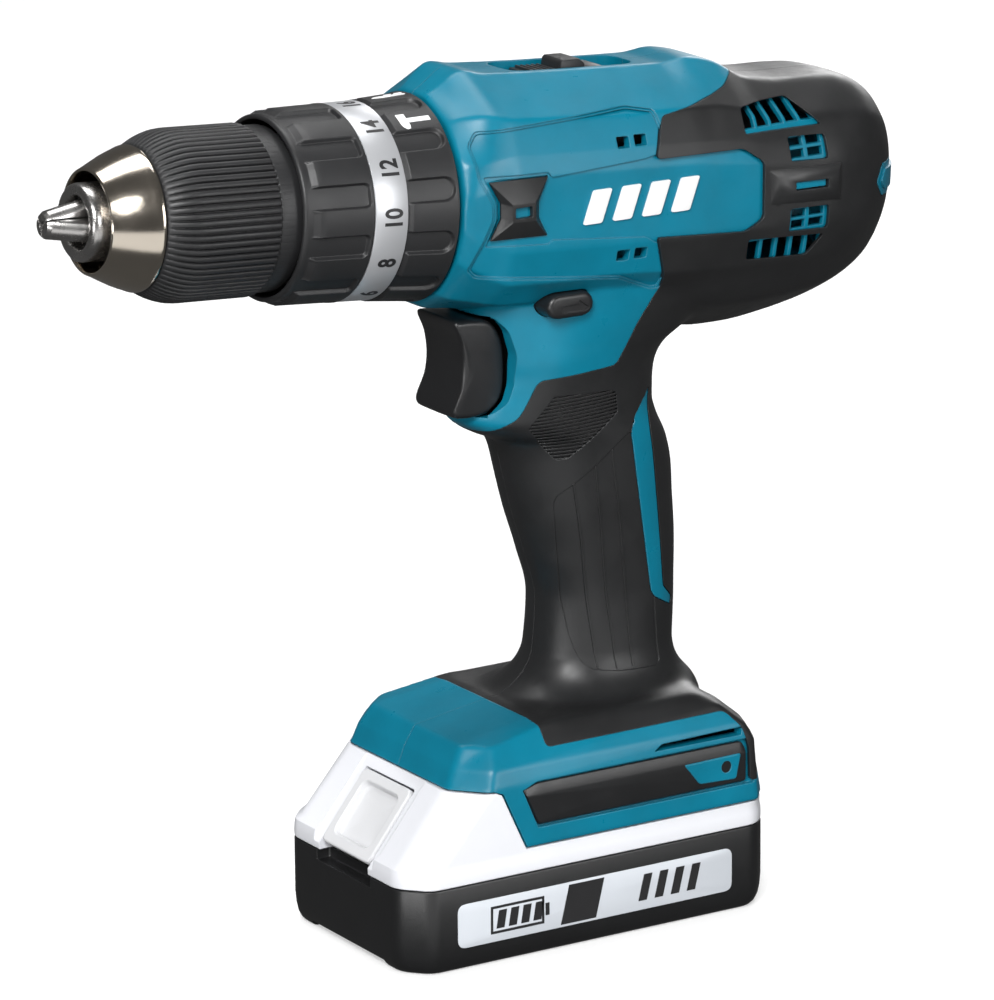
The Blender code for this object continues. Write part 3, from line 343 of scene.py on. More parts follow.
def grown(outline, distance):
    """Move every side of a closed outline outwards."""
    n = len(outline)
    area = sum(outline[i][0] * outline[(i + 1) % n][1]
               - outline[(i + 1) % n][0] * outline[i][1] for i in range(n))
    sign = -1 if area > 0 else 1
    result = []
    for i in range(n):
        a, b, c = (Vector(outline[i - 1]), Vector(outline[i]), Vector(outline[(i + 1) % n]))
        e1, e2 = (b - a).normalized(), (c - b).normalized()
        mid = (Vector((-e1.y, e1.x)) + Vector((-e2.y, e2.x))) * sign
        result.append(tuple(b + mid / max(mid.length_squared / 2, 0.35) * distance))
    return result


def mirrored(half, z, radius, count=6):
    """Level outline with rounded corners from the corners (x, y) of its +Y half."""
    outline = rounded_outline([(x, -y) for x, y in half] + [(x, y) for x, y in reversed(half)],
                              radius, count)
    return [(x, y, z) for x, y in outline]


def outward(side, near, far):
    """Low and high y of a span beside the middle plane."""
    return sorted((side * near, side * far))


def points_of(mesh):
    points = np.empty(len(mesh.vertices) * 3)
    mesh.vertices.foreach_get("co", points)
    return points.reshape(-1, 3)


def normals_of(mesh):
    normals = np.empty(len(mesh.vertices) * 3, np.float32)
    mesh.vertex_normals.foreach_get("vector", normals)
    return normals.reshape(-1, 3).astype(float)


def put_points(mesh, points):
    mesh.vertices.foreach_set("co", np.ascontiguousarray(points, np.float32).ravel())
    mesh.update()


def relax(obj, rounds, weight=None):
    """Move each point towards its neighbours' mean, by a weight from a function of xyz."""
    mesh = obj.data
    points = points_of(mesh)
    edges = np.empty(len(mesh.edges) * 2, np.int32)
    mesh.edges.foreach_get("vertices", edges)
    a, b = edges.reshape(-1, 2).T
    degree = np.bincount(a, minlength=len(points)) + np.bincount(b, minlength=len(points))
    share = np.full(len(points), 0.5) if weight is None else weight(points / MM)
    for _ in range(rounds):
        total = np.stack([np.bincount(a, points[b, k], len(points))
                          + np.bincount(b, points[a, k], len(points)) for k in range(3)], 1)
        points = points + share[:, None] * (total / degree[:, None] - points)
    put_points(mesh, points)
    return obj


def offset_copy(obj, name, distance):
    """The same surface moved along its normals by a distance in millimetres."""
    twin = copy_of(obj, name)
    mesh = twin.data
    put_points(mesh, points_of(mesh) + normals_of(mesh) * distance * MM)
    return twin


def remeshed(obj, size):
    mod = obj.modifiers.new("voxels", 'REMESH')
    mod.mode = 'VOXEL'
    mod.voxel_size = size * MM
    mod.adaptivity = 0
    return freeze(obj)


def joined(name, pieces):
    bm = bmesh.new()
    for part in pieces:
        bm.from_mesh(part.data)
    drop(*pieces)
    return from_bmesh(name, bm)


def step(x, low, high):
    """Smooth rise from 0 to 1 between two values."""
    t = np.clip((x - low) / (high - low), 0, 1)
    return t * t * (3 - 2 * t)


# ---- body form -------------------------------------------------------------------------
def through(keys, values, at):
    """Monotone smooth curve through rows of values at rising keys."""
    keys, values = np.asarray(keys, float), np.asarray(values, float)
    gaps = np.diff(keys)[:, None]
    slopes = np.diff(values, axis=0) / gaps
    tangent = np.zeros_like(values)
    tangent[0], tangent[-1] = slopes[0], slopes[-1]
    same = slopes[:-1] * slopes[1:] > 0
    w1 = 2 * gaps[1:] + gaps[:-1]
    w2 = gaps[1:] + 2 * gaps[:-1]
    safe_a = np.where(same, slopes[:-1], 1)
    safe_b = np.where(same, slopes[1:], 1)
    tangent[1:-1] = np.where(same, (w1 + w2) / (w1 / safe_a + w2 / safe_b), 0)
    at = np.asarray(at, float)
    k = np.clip(np.searchsorted(keys, at) - 1, 0, len(keys) - 2)
    h = np.diff(keys)[k][:, None]
    t = ((at - keys[k]) / np.diff(keys)[k])[:, None]
    return (values[k] * (1 + 2 * t) * (1 - t) ** 2 + tangent[k] * h * t * (1 - t) ** 2
            + values[k + 1] * t * t * (3 - 2 * t) + tangent[k + 1] * h * t * t * (t - 1))


def around(corners, per_side, roundness):
    """Closed curve through corners: straight sides mixed with a smooth spline."""
    corners = np.asarray(corners, float)
    n = len(corners)
    result = []
    for i in range(n):
        p0, p1, p2, p3 = (corners[(i + k) % n] for k in (-1, 0, 1, 2))
        for k in range(per_side):
            t = k / per_side
            line = p1 + (p2 - p1) * t
            curve = 0.5 * (2 * p1 + (p2 - p0) * t + (2 * p0 - 5 * p1 + 4 * p2 - p3) * t * t
                           + (3 * p1 - p0 - 3 * p2 + p3) * t ** 3)
            result.append(line * (1 - roundness) + curve * roundness)
    return np.array(result)


def barrel_form():
    keys = [row[0] for row in BARREL]
    values = [np.array(row[1], float).ravel() for row in BARREL]
    at = np.concatenate([np.arange(0.4, 144, 1.3), np.linspace(144, 153.2, 20)])
    rings = []
    for back, row in zip(at, through(keys, values, at)):
        half = row.reshape(-1, 2)
        corners = np.concatenate([half, (half * (-1, 1))[::-1]])
        curve = around(corners, 8, 0.05 + 0.5 * float(step(back, 112, 142)))
        ring = [ORIGIN - NOSE * back + UP * z + Vector((0, y, 0)) for y, z in curve]
        rings.append([tuple(p) for p in ring])
    return loft("barrel", rings)


def handle_form():
    keys = [row[0] for row in HANDLE]
    at = np.arange(keys[0], keys[-1], 1.3)
    rings = []
    for z, (mid, deep, wide) in zip(at, through(keys, [row[1:] for row in HANDLE], at)):
        angles = np.arange(96) * 2 * math.pi / 96
        c, s = np.cos(angles), np.sin(angles)
        x = mid + deep * np.sign(c) * np.abs(c) ** 0.86
        y = wide * np.sign(s) * np.abs(s) ** 0.86
        rings.append(np.stack([x, y, np.full_like(x, z)], 1))
    return loft("handle", rings)


def base_form():
    return loft("base", [mirrored(half, z, 1.4, 5) for z, half in BASE])


def junction_weight(p):
    """Strong where the handle meets the barrel and the foot, light elsewhere."""
    x, z = p[:, 0], p[:, 2]
    top = step(z, 150, 160) * (1 - step(z, 176, 186)) * step(x, 24, 34)
    low = (1 - step(z, 68, 76)) * step(z, 60.5, 63) * step(x, -8, 0)
    rear = step(x, 62, 80) * step(z, 150, 160) * 0.6
    return 0.002 + 0.55 * np.clip(np.maximum(np.maximum(top, low), rear), 0, 1)


def body_form():
    form = joined("form", [barrel_form(), handle_form(), base_form()])
    remeshed(form, VOXEL)
    relax(form, 1)
    relax(form, int(40 * (0.7 / VOXEL) ** 2), junction_weight)
    return form


# ---- shells ----------------------------------------------------------------------------
def both_sides(name, outline, inner=0.0):
    """Cutter prism right through, or from a distance off the middle on both sides."""
    if inner <= 0:
        return prism(name, outline, -70, 70)
    return joined(name, [prism(name, outline, -70, -inner), prism(name, outline, inner, 70)])


def recess(obj, form, outline, depth):
    """Sink the surface inside an outline by a depth, with upright walls."""
    tool = both_sides("recess_tool", outline)
    cut(tool, offset_copy(form, "recess_floor", -depth))
    return cut(obj, tool)


def raise_pad(obj, form, outline, height):
    """Lift the surface inside an outline by a height."""
    tool = both_sides("raise_tool", outline, 8.0)
    cut(tool, offset_copy(form, "raise_top", height), 'INTERSECT')
    return cut(obj, tool, 'UNION')


def thick_line(points, width):
    """Outline of a bent line of even width."""
    left, right = [], []
    for i, point in enumerate(points):
        before, after = points[max(i - 1, 0)], points[min(i + 1, len(points) - 1)]
        side = Vector((after[1] - before[1], before[0] - after[0])).normalized() * width / 2
        left.append(tuple(Vector(point) + side))
        right.append(tuple(Vector(point) - side))
    return left + right[::-1]


def pill(cx, cz, length, height, count=12):
    """Long hole outline in the side view."""
    r = height / 2
    points = []
    for centre, start in ((cx + length / 2 - r, -90), (cx - length / 2 + r, 90)):
        for i in range(count + 1):
            a = math.radians(start + 180 * i / count)
            points.append((centre + r * math.cos(a), cz + r * math.sin(a)))
    return points


def vent_bars():
    boxes = []
    for i in range(5):
        x = 58.6 + i * 5.15
        boxes.append(block("slot", (x, -60, 222.3), (x + 4.1, 60, 229)))
        boxes.append(block("slot", (x, -60, 184.8), (x + 4.1, 60, 191.3)))
    for z0 in (212.9, 216.1, 193.2, 196.3):
        boxes.append(block("slot", (72.9, -60, z0), (77.6, 60, z0 + 2.4)))
        boxes.append(block("slot", (78.9, -60, z0), (83.9, 60, z0 + 2.4)))
    return joined("vent_bars", boxes)


def small_vents():
    boxes = []
    for z0, x0 in ((222.5, 16.1), (191.6, 15.2)):
        for x in (x0, x0 + 5.7):
            boxes.append(prism("slot", rounded_outline(
                [(x, z0), (x + 3.9, z0 - 0.1), (x + 4.1, z0 + 2.9), (x, z0 + 3.1)], 0.5), -60, 60))
    return joined("small_vents", boxes)


def build_shells():
    """Housing halves and the rubber moulded over them, cut from one body form."""
    form = body_form()
    under = offset_copy(form, "under", -RUBBER_T)
    skin_floor = offset_copy(form, "skin_floor", -RUBBER_T + SEAM)
    hollow = offset_copy(form, "hollow", -WALL)
    cut(hollow, block("hollow_limit", (-60, -60, 20), (200, 60, 300)), 'INTERSECT')
    rubber_zone = rounded_outline(RUBBER, 1.6)

    skin = copy_of(form, "skin")
    for side, _ in SIDES:
        cut(skin, stacked("boss", REAR_BOSS, [(27.5, 0, 0), (30.7, 0, 0), (32.2, 2.1, 0)], side),
            'UNION')
    recess(skin, form, rounded_outline(PATCH, 0.8), 0.95)
    ribs = joined("ribs", [
        both_sides("rib", [(-8, z), (26, z + 1.7), (26, z + 2.2), (-8, z + 0.5)], 6)
        for z in np.arange(131.5, 154, 1.02)])
    cut(ribs, both_sides("rib_limit", grown(PATCH, 0.05), 5), 'INTERSECT')
    cut(ribs, offset_copy(form, "rib_top", -0.12), 'INTERSECT')
    cut(skin, ribs, 'UNION')
    recess(skin, form, rounded_outline(GRIP_PANEL, 2.5), 0.35)
    for line in GRIP_LINES:
        raise_pad(skin, form, thick_line(line, 0.45), 0.06)
    cut(skin, both_sides("skin_zone", grown(rubber_zone, -SEAM / 2)), 'INTERSECT')
    for outline in VENTS:
        cut(skin, both_sides("window", rounded_outline(outline, 1.0)))
    cut(skin, both_sides("inlay_window", rounded_outline(GRIP_INLAY, 1.0)))
    cut(skin, both_sides("boss_window", rounded_outline(
        [(72.3, 207.1), (83.4, 206.8), (83.3, 204.4), (72.4, 204.6)], 0.5), 12))
    cut(skin, both_sides("rear_window", rounded_outline(REAR_BAR, 0.8)))
    cut(skin, skin_floor)
    cut(skin, prism("pocket", TRIGGER_POCKET, -40, 40))
    cut(skin, prism("front", BATTERY_FRONT, -60, 60))

    shell = copy_of(form, "shell")
    recess(shell, form, rounded_outline(grown(SIDE_RECESS, 0.7), 1.0), 0.4)
    recess(shell, form, rounded_outline(SIDE_RECESS, 1.0), 0.95)
    recess(shell, form, rounded_outline(BAND_RECESS, 0.8), 1.55)
    ring = both_sides("rubber_ring", rubber_zone)
    cut(ring, copy_of(under, "under_copy"))
    cut(shell, ring)
    raise_pad(shell, form, rounded_outline(
        [(72.6, 206.8), (83.1, 206.5), (83.0, 204.7), (72.7, 204.9)], 0.5), 0.9)
    inlay = both_sides("inlay", grown(rounded_outline(GRIP_INLAY, 1.0), -SEAM), 4)
    cut(inlay, offset_copy(form, "inlay_top", -0.25), 'INTERSECT')
    cut(shell, inlay, 'UNION')
    for inset, lift in ((SEAM, 0.1), (2.0, 0.7)):
        bar = both_sides("bar", rounded_outline(grown(REAR_BAR, -inset), 0.8))
        cut(bar, offset_copy(form, "bar_top", lift), 'INTERSECT')
        cut(bar, block("bar_zone", (100, -40, 190), (140, 40, 215)), 'INTERSECT')
        cut(shell, bar, 'UNION')
    cut(shell, hollow)
    cut(shell, prism("lever_slot", pill(2.6, 180.4, 15.4, 7.6), -60, 60))
    cut(shell, prism("trigger_pocket", rounded_outline(TRIGGER_POCKET, 1.2), -40, 40))
    cut(shell, block("trigger_room", (-20, -10.9, 148.1), (-2.6, 10.9, 176.4)))
    cut(shell, prism("front", BATTERY_FRONT, -60, 60))
    cut(shell, block("rail_pocket", (-60, -27, 20), (58.5, 27, 46.4)))
    cut(shell, on_axis(rod("mouth", 25.6, -14, 8, 96)))
    selector = rounded_outline([(-68, -7.4), (-26.4, -7.4), (-26.4, 7.4), (-68, 7.4)], 5.5)
    cut(shell, on_axis(drawn_out("selector_pocket", [[(up, y, ahead) for ahead, y in selector]
                                                     for up in (27, 45)])))
    thin = offset_copy(form, "thin", -2.9)
    cut(thin, block("thin_zone", (57, -60, 184), (87, 60, 231)), 'INTERSECT')
    cut(shell, thin)
    cut(shell, vent_bars())
    cut(shell, small_vents())
    cut(shell, both_sides("panel_seat", grown(PANEL, 0.3), 34.0))
    cut(shell, both_sides("bow_seat", grown(BOW, 0.3), 28.4))
    strap_slot = [(23.4, 52.0), (26, 53.7), (53.0, 54.2), (52.6, 51.9)]
    cut(shell, both_sides("strap_slot", rounded_outline(strap_slot, 0.5), 27.5))

    drop(form, under)
    for obj, tag in ((shell, "shell"), (skin, "grip")):
        for side, low, high in (("left", -80, -0.07), ("right", 0.07, 80)):
            half = copy_of(obj, tag + "_" + side)
            cut(half, block("half", (-200, low, -10), (300, high, 300)), 'INTERSECT')
            smooth(half, 38)
            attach(half, "housing")
            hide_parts(("housing_" if tag == "shell" else "rubber_") + side)
            dress(half, TEAL if tag == "shell" else RUBBER_MAT)
        drop(obj)


# ---- finishes --------------------------------------------------------------------------
def node_of(tree, kind, **inputs):
    node = tree.nodes.new(kind)
    for key, value in inputs.items():
        name = key.replace("_", " ")
        if hasattr(value, "is_linked"):
            tree.links.new(value, node.inputs[name])
        else:
            node.inputs[name].default_value = value
    return node


def finish_of(name, colour, rough, metal=0.0, grain=(2600, 0.02), mottle=0.10, edge_wear_and_highlight=0.15,
              uneven=0.10, edge=0.30, coat=0.0, pits=0.0, gleam=0.5):
    """Plastic, rubber or metal with grain, uneven gloss, mottled colour, and edges lightened partly for rubbing
    and partly as a painted highlight.
    """
    mat = bpy.data.materials.new(name)
    mat.use_nodes = True
    tree = mat.node_tree
    link_up = tree.links.new
    shader = tree.nodes["Principled BSDF"]
    shader.inputs["Metallic"].default_value = metal
    shader.inputs["Coat Weight"].default_value = coat
    shader.inputs["Coat Roughness"].default_value = 0.25
    shader.inputs["Specular IOR Level"].default_value = gleam
    place = tree.nodes.new("ShaderNodeTexCoord").outputs["Object"]
    soft = node_of(tree, "ShaderNodeTexNoise", Vector=place, Scale=38.0, Detail=5.0,
                   Roughness=0.6)
    fine = node_of(tree, "ShaderNodeTexNoise", Vector=place, Scale=float(grain[0]), Detail=3.0,
                   Roughness=0.65)
    round_edge = node_of(tree, "ShaderNodeBevel", Radius=edge * MM)
    round_edge.samples = 4
    geometry = tree.nodes.new("ShaderNodeNewGeometry")
    facing = tree.nodes.new("ShaderNodeVectorMath")
    facing.operation = 'DOT_PRODUCT'
    link_up(round_edge.outputs["Normal"], facing.inputs[0])
    link_up(geometry.outputs["Normal"], facing.inputs[1])
    # lighter colour along edges found by the bevel normal: partly rubbing, partly a painted highlight (concave
    # edges lighten too)
    worn_lit_edge_mask = node_of(tree, "ShaderNodeMapRange", Value=facing.outputs["Value"],
                        From_Min=0.995, From_Max=0.80, To_Min=0.0, To_Max=edge_wear_and_highlight)
    worn_lit_edge = tree.nodes.new("ShaderNodeMath")
    worn_lit_edge.operation = 'MULTIPLY'
    link_up(worn_lit_edge_mask.outputs["Result"], worn_lit_edge.inputs[0])
    link_up(soft.outputs["Fac"], worn_lit_edge.inputs[1])
    shade = node_of(tree, "ShaderNodeMapRange", Value=soft.outputs["Fac"], From_Min=0.3,
                    From_Max=0.7, To_Min=0.0, To_Max=1.0)
    mixed = tree.nodes.new("ShaderNodeMix")
    mixed.data_type = 'RGBA'
    link_up(shade.outputs["Result"], mixed.inputs["Factor"])
    dark, light = (tuple(min(c * (1 + s * mottle), 1) for c in colour) + (1,) for s in (-1, 1))
    mixed.inputs[6].default_value = dark
    mixed.inputs[7].default_value = light
    # edge colour lighter than the base: rubbed plastic plus a painted edge highlight
    worn_lit_colour = tree.nodes.new("ShaderNodeMix")
    worn_lit_colour.data_type = 'RGBA'
    link_up(worn_lit_edge.outputs["Value"], worn_lit_colour.inputs["Factor"])
    link_up(mixed.outputs[2], worn_lit_colour.inputs[6])
    worn_lit_colour.inputs[7].default_value = tuple(min(0.25 + c * 1.2, 1) for c in colour) + (1,)
    link_up(worn_lit_colour.outputs[2], shader.inputs["Base Color"])
    gloss = node_of(tree, "ShaderNodeTexNoise", Vector=place, Scale=110.0, Detail=6.0,
                    Roughness=0.7)
    polish = node_of(tree, "ShaderNodeMapRange", Value=gloss.outputs["Fac"], From_Min=0.3,
                     From_Max=0.7, To_Min=rough * (1 - uneven), To_Max=rough * (1 + uneven))
    link_up(polish.outputs["Result"], shader.inputs["Roughness"])
    bump = node_of(tree, "ShaderNodeBump", Height=fine.outputs["Fac"],
                   Normal=round_edge.outputs["Normal"], Strength=1.0,
                   Distance=grain[1] * MM)
    normal = bump.outputs["Normal"]
    if pits:
        spots = node_of(tree, "ShaderNodeTexVoronoi", Vector=place, Scale=900.0)
        pit = node_of(tree, "ShaderNodeBump", Height=spots.outputs["Distance"], Normal=normal,
                      Strength=1.0, Distance=pits * MM)
        normal = pit.outputs["Normal"]
    link_up(normal, shader.inputs["Normal"])
    return mat


TEAL_TONE = (0.0012, 0.150, 0.232)
TEAL = finish_of("teal_moulding", TEAL_TONE, 0.32, grain=(2400, 0.012), mottle=0.12, edge_wear_and_highlight=0.30,
                 uneven=0.18, edge=0.5, gleam=0.32)
RUBBER_MAT = finish_of("black_rubber", (0.0125, 0.0128, 0.0134), 0.40, grain=(3200, 0.018),
                       mottle=0.22, edge_wear_and_highlight=0.12, uneven=0.18, gleam=0.42)
RING_MAT = finish_of("black_ring_plastic", (0.016, 0.0162, 0.0172), 0.44, grain=(3000, 0.035),
                     mottle=0.14, edge_wear_and_highlight=0.12, uneven=0.12, gleam=0.42)
GLOSS_BLACK = finish_of("black_moulding", (0.010, 0.0102, 0.011), 0.34, grain=(2200, 0.012),
                        mottle=0.12, edge_wear_and_highlight=0.14, uneven=0.12)
CASE_MAT = finish_of("battery_black", (0.0085, 0.0087, 0.0092), 0.36, grain=(2600, 0.02),
                     mottle=0.12, edge_wear_and_highlight=0.10, uneven=0.12)
NICKEL = finish_of("nickel", (0.56, 0.505, 0.43), 0.15, 1.0, grain=(4200, 0.010), mottle=0.06,
                   edge_wear_and_highlight=0.2, uneven=0.25, edge=0.15)
STEEL = finish_of("steel", (0.46, 0.45, 0.44), 0.26, 1.0, grain=(3600, 0.012), mottle=0.10,
                  edge_wear_and_highlight=0.3, uneven=0.25, edge=0.15)
DARK_STEEL = finish_of("dark_steel", (0.16, 0.16, 0.165), 0.34, 1.0, grain=(3600, 0.012),
                       mottle=0.15, edge_wear_and_highlight=0.3, uneven=0.2, edge=0.15)
SILVER_BAND = finish_of("silver_band", (0.52, 0.53, 0.55), 0.36, 0.5, grain=(5200, 0.006),
                        mottle=0.03, edge_wear_and_highlight=0.05, uneven=0.08, edge=0.1)
WHITE_MAT = finish_of("white_moulding", (0.70, 0.71, 0.745), 0.34, grain=(2400, 0.008),
                      mottle=0.02, edge_wear_and_highlight=0.10, uneven=0.10, edge=0.4)
LATCH_MAT = finish_of("milky_latch", (0.62, 0.625, 0.64), 0.30, grain=(2000, 0.006),
                      mottle=0.04, edge_wear_and_highlight=0.10, uneven=0.10, edge=0.4)
LABEL_MAT = finish_of("label_foil", (0.55, 0.58, 0.62), 0.30, grain=(5000, 0.003), mottle=0.03,
                      edge_wear_and_highlight=0.04, uneven=0.08, edge=0.05)
WHITE_INK = finish_of("white_print", (0.82, 0.82, 0.82), 0.45, grain=(4000, 0.01), mottle=0.02,
                      edge_wear_and_highlight=0.0, uneven=0.08, edge=0.05)
BLACK_INK = finish_of("black_print", (0.012, 0.012, 0.013), 0.45, grain=(4000, 0.006),
                      mottle=0.05, edge_wear_and_highlight=0.0, uneven=0.08, edge=0.05)
CAST = finish_of("cast_metal", (0.30, 0.31, 0.32), 0.50, 0.9, grain=(900, 0.06), mottle=0.12,
                 edge_wear_and_highlight=0.3, uneven=0.15, pits=0.02)
FERRITE = finish_of("ferrite", (0.05, 0.05, 0.052), 0.55, 0.3, grain=(2600, 0.03), mottle=0.2,
                    edge_wear_and_highlight=0.2)
COPPER = finish_of("copper_windings", (0.52, 0.22, 0.10), 0.35, 0.9, grain=(900, 0.08),
                   mottle=0.15, edge_wear_and_highlight=0.2)
RED_LEAD = finish_of("red_insulation", (0.42, 0.012, 0.010), 0.42, grain=(2000, 0.02),
                     mottle=0.08, edge_wear_and_highlight=0.05)
GREY_FAN = finish_of("grey_moulding", (0.10, 0.10, 0.105), 0.45, grain=(2200, 0.02),
                     mottle=0.10, edge_wear_and_highlight=0.12)
CELL_MAT = finish_of("cell_wrap", (0.03, 0.20, 0.09), 0.30, grain=(2200, 0.006), mottle=0.08,
                     edge_wear_and_highlight=0.08)
SLOT_FINISH = {
    "teal_shell": TEAL, "black_rubber": RUBBER_MAT, "black_plastic": GLOSS_BLACK,
    "bright_nose": NICKEL, "steel": STEEL, "dark_steel": DARK_STEEL,
    "silver_plastic": SILVER_BAND, "white_plastic": WHITE_MAT, "latch_plastic": LATCH_MAT,
    "label_foil": LABEL_MAT, "nickel_can": STEEL, "cast_metal": CAST, "ferrite": FERRITE,
    "copper_steel": COPPER, "red_lead": RED_LEAD, "grey_fan": GREY_FAN,
}


def dress(obj, mat):
    obj.data.materials.clear()
    obj.data.materials.append(mat)
    obj.data.polygons.foreach_set("material_index", [0] * len(obj.data.polygons))
    return obj


BODY_OF = {node: body for body, nodes in frame["record"]["behaviour"]["bodies"].items()
           for node in nodes}


def piece(obj, name, mat, like=None, replaces=None, angle=35.0):
    """Name, smooth and paint a piece and let it ride with the body of a CAD node."""
    obj.name = name
    smooth(obj, angle)
    dress(obj, mat)
    like = like or replaces
    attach(obj, BODY_OF[like])
    if replaces:
        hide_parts(replaces)
    return obj


# ---- rings and chuck -------------------------------------------------------------------
def radius_grid(name, rows, turn, profile):
    """Closed ring on the spindle: rows of (height, groove radius, pad radius), mixed by profile."""
    result = []
    for z, low, high in rows:
        mask = profile(turn, z)
        r = low + (high - low) * mask
        result.append(np.stack([r * np.cos(turn), r * np.sin(turn), np.full_like(turn, z)], 1))
    return on_axis(ring_of_rows(name, np.array(result)))


def between(low, high, pitch):
    return list(np.linspace(low, high, max(int(round((high - low) / pitch)), 1) + 1))


def sector_turns(middle, pads, half, fine, coarse):
    """Angles around a ring, denser beside the walls of each groove."""
    width = 360.0 / pads
    local = sorted(set(np.round(np.concatenate([
        np.arange(-width / 2, width / 2, coarse),
        np.arange(half - 1.3, half + 1.3, fine), np.arange(-half - 1.3, -half + 1.3, fine)]), 3)))
    turns = [middle + k * width + a for k in range(pads) for a in local]
    return np.radians(sorted(turns))


def groove_distance(turn, z, radius, half, low, high, corner):
    """Signed distance in millimetres to a rounded slot centred between two pads."""
    width = 2 * math.pi / PADS
    off = (turn + math.radians(15) + width / 2) % width - width / 2
    u = np.abs(off) * radius - (half - corner)
    v = np.abs(z - (low + high) / 2) - ((high - low) / 2 - corner)
    outside = np.hypot(np.maximum(u, 0), np.maximum(v, 0))
    return outside + np.minimum(np.maximum(u, v), 0) - corner


def torque_profile(turn, z):
    wall = step(groove_distance(turn, z, 26.2, 3.1, 27.3, 80, 1.3), -0.35, 0.35)
    front = np.clip((45.0 - z) / 1.9, 0, 1)
    near = np.abs((turn + math.pi / PADS * 2) % (2 * math.pi / PADS) - math.pi / PADS)
    lip = np.clip((45.0 - 0.9 * step(np.abs(near * 26.2), 2.5, 3.9) - z) / 1.9, 0, 1)
    return wall * np.minimum(front, lip)


def mode_profile(turn, z):
    wall = step(groove_distance(turn, z, 27.6, 3.15, 1.7, 40, 3.1), -0.35, 0.35)
    return wall * np.clip((15.5 - z) / 1.05, 0, 1)


def flute_rows():
    """Angles, rib mask and rows of radii of the chuck sleeve."""
    phases = np.array([-0.5, -0.44, -0.40, -0.30, -0.15, 0, 0.15, 0.30, 0.40, 0.44])
    heights = np.array([0, 0, 0.5, 0.86, 0.97, 1, 0.97, 0.86, 0.5, 0])
    pitch = 2 * math.pi / FLUTES
    turn = np.concatenate([(k + phases) * pitch for k in range(FLUTES)])
    mask = np.tile(heights, FLUTES)
    rows = [(45.2, 21.9, 21.9), (45.5, 22.3, 22.3), (45.9, 22.4, 22.4), (51.6, 22.4, 22.4),
            (51.95, 22.2, 22.3), (52.15, 22.1, 22.8), (52.5, 22.15, 23.2), (53.1, 22.2, 23.3),
            (63, 22.2, 23.3), (74, 22.2, 23.3), (76.6, 22.0, 23.05), (79.0, 21.4, 22.4),
            (81.0, 20.75, 21.6), (82.6, 20.2, 20.75), (83.6, 19.85, 20.15), (84.2, 19.6, 19.7),
            (84.55, 19.2, 19.2), (84.6, 18.8, 18.8), (84.6, 17.2, 17.2), (45.2, 17.2, 17.2)]
    return turn, mask, rows


def build_rings():
    turn, mask, rows = flute_rows()
    sleeve = radius_grid("sleeve", rows, turn, lambda a, z: mask)
    piece(sleeve, "chuck_sleeve_ribbed", RING_MAT, replaces="chuck_sleeve",
          angle=28)

    turn = sector_turns(-15, PADS, 6.6, 0.16, 0.75)
    rows = []
    for z in sorted(set(np.round(between(26.1, 29.2, 0.16) + between(29.2, 42.4, 2.2)
                                 + between(42.4, 45.4, 0.15), 3))):
        t = (z - 26.1) / (45.4 - 26.1)
        rows.append((z, 25.75 - 0.5 * t, 26.85 - 0.45 * t))
    rows[0] = (26.1, 26.3, 26.3)
    rows += [(46.0, 25.2, 25.2), (46.4, 25.0, 25.0), (46.65, 24.6, 24.6), (46.7, 24.2, 24.2),
             (46.6, 23.9, 23.9), (46.0, 23.6, 23.6), (40, 23.5, 23.5), (15.9, 23.7, 23.7),
             (15.9, 25.3, 25.3), (26.1, 25.3, 25.3)]
    ring = radius_grid("torque", rows, turn, torque_profile)
    piece(ring, "torque_ring_grip", RING_MAT, replaces="torque_ring",
          angle=40)

    turn = sector_turns(-15, PADS, 6.6, 0.16, 0.75)
    rows = []
    for z in sorted(set(np.round(between(1.2, 5.4, 0.15) + between(5.4, 14.0, 1.4)
                                 + between(14.0, 15.5, 0.12), 3)), reverse=True):
        t = (15.5 - z) / 14.3
        rows.append((z, 26.35 + 0.95 * t, 27.35 + 1.05 * t))
    rows = [(15.6, 26.3, 26.3)] + rows
    rows += [(0.95, 28.5, 28.5), (0.75, 28.3, 28.3), (0.7, 28.0, 28.0), (0.7, 23.6, 23.6),
             (15.6, 23.6, 23.6)]
    ring = radius_grid("mode", rows, turn, mode_profile)
    piece(ring, "mode_ring_grip", RING_MAT, replaces="mode_ring",
          angle=40)

    band = on_axis(turned("band", [(26.45, 25.95), (26.62, 25.85), (26.72, 25.5), (26.98, 16.2),
                                   (26.9, 16.0), (25.6, 16.0), (25.6, 25.9)], 240))
    piece(band, "number_band_silver", SILVER_BAND, replaces="number_band")
    for k in range(1, 11):
        turn = math.radians(-2.5 - 28.7 * (8 - k))
        wrap_text("dial_number_%02d" % (2 * k), str(2 * k), turn, 20.35, 5.3, 0.80)
    icons()


def wrapped(obj, turn, height, radius, lift):
    """Bend a flat outline piece (x around, y forwards, z out) on to the spindle's drum."""
    points = points_of(obj.data) / MM
    a = turn + points[:, 0] / radius(height)
    s = height + points[:, 1]
    r = np.array([radius(v) for v in s]) + lift + points[:, 2]
    put_points(obj.data, np.stack([r * np.cos(a), r * np.sin(a), s], 1) * MM)
    return on_axis(obj)


def band_radius(s):
    return 26.98 - 0.26 * (s - 16.2) / 9.3


def mode_radius(s):
    return 27.35 + 1.05 * (15.5 - s) / 14.3


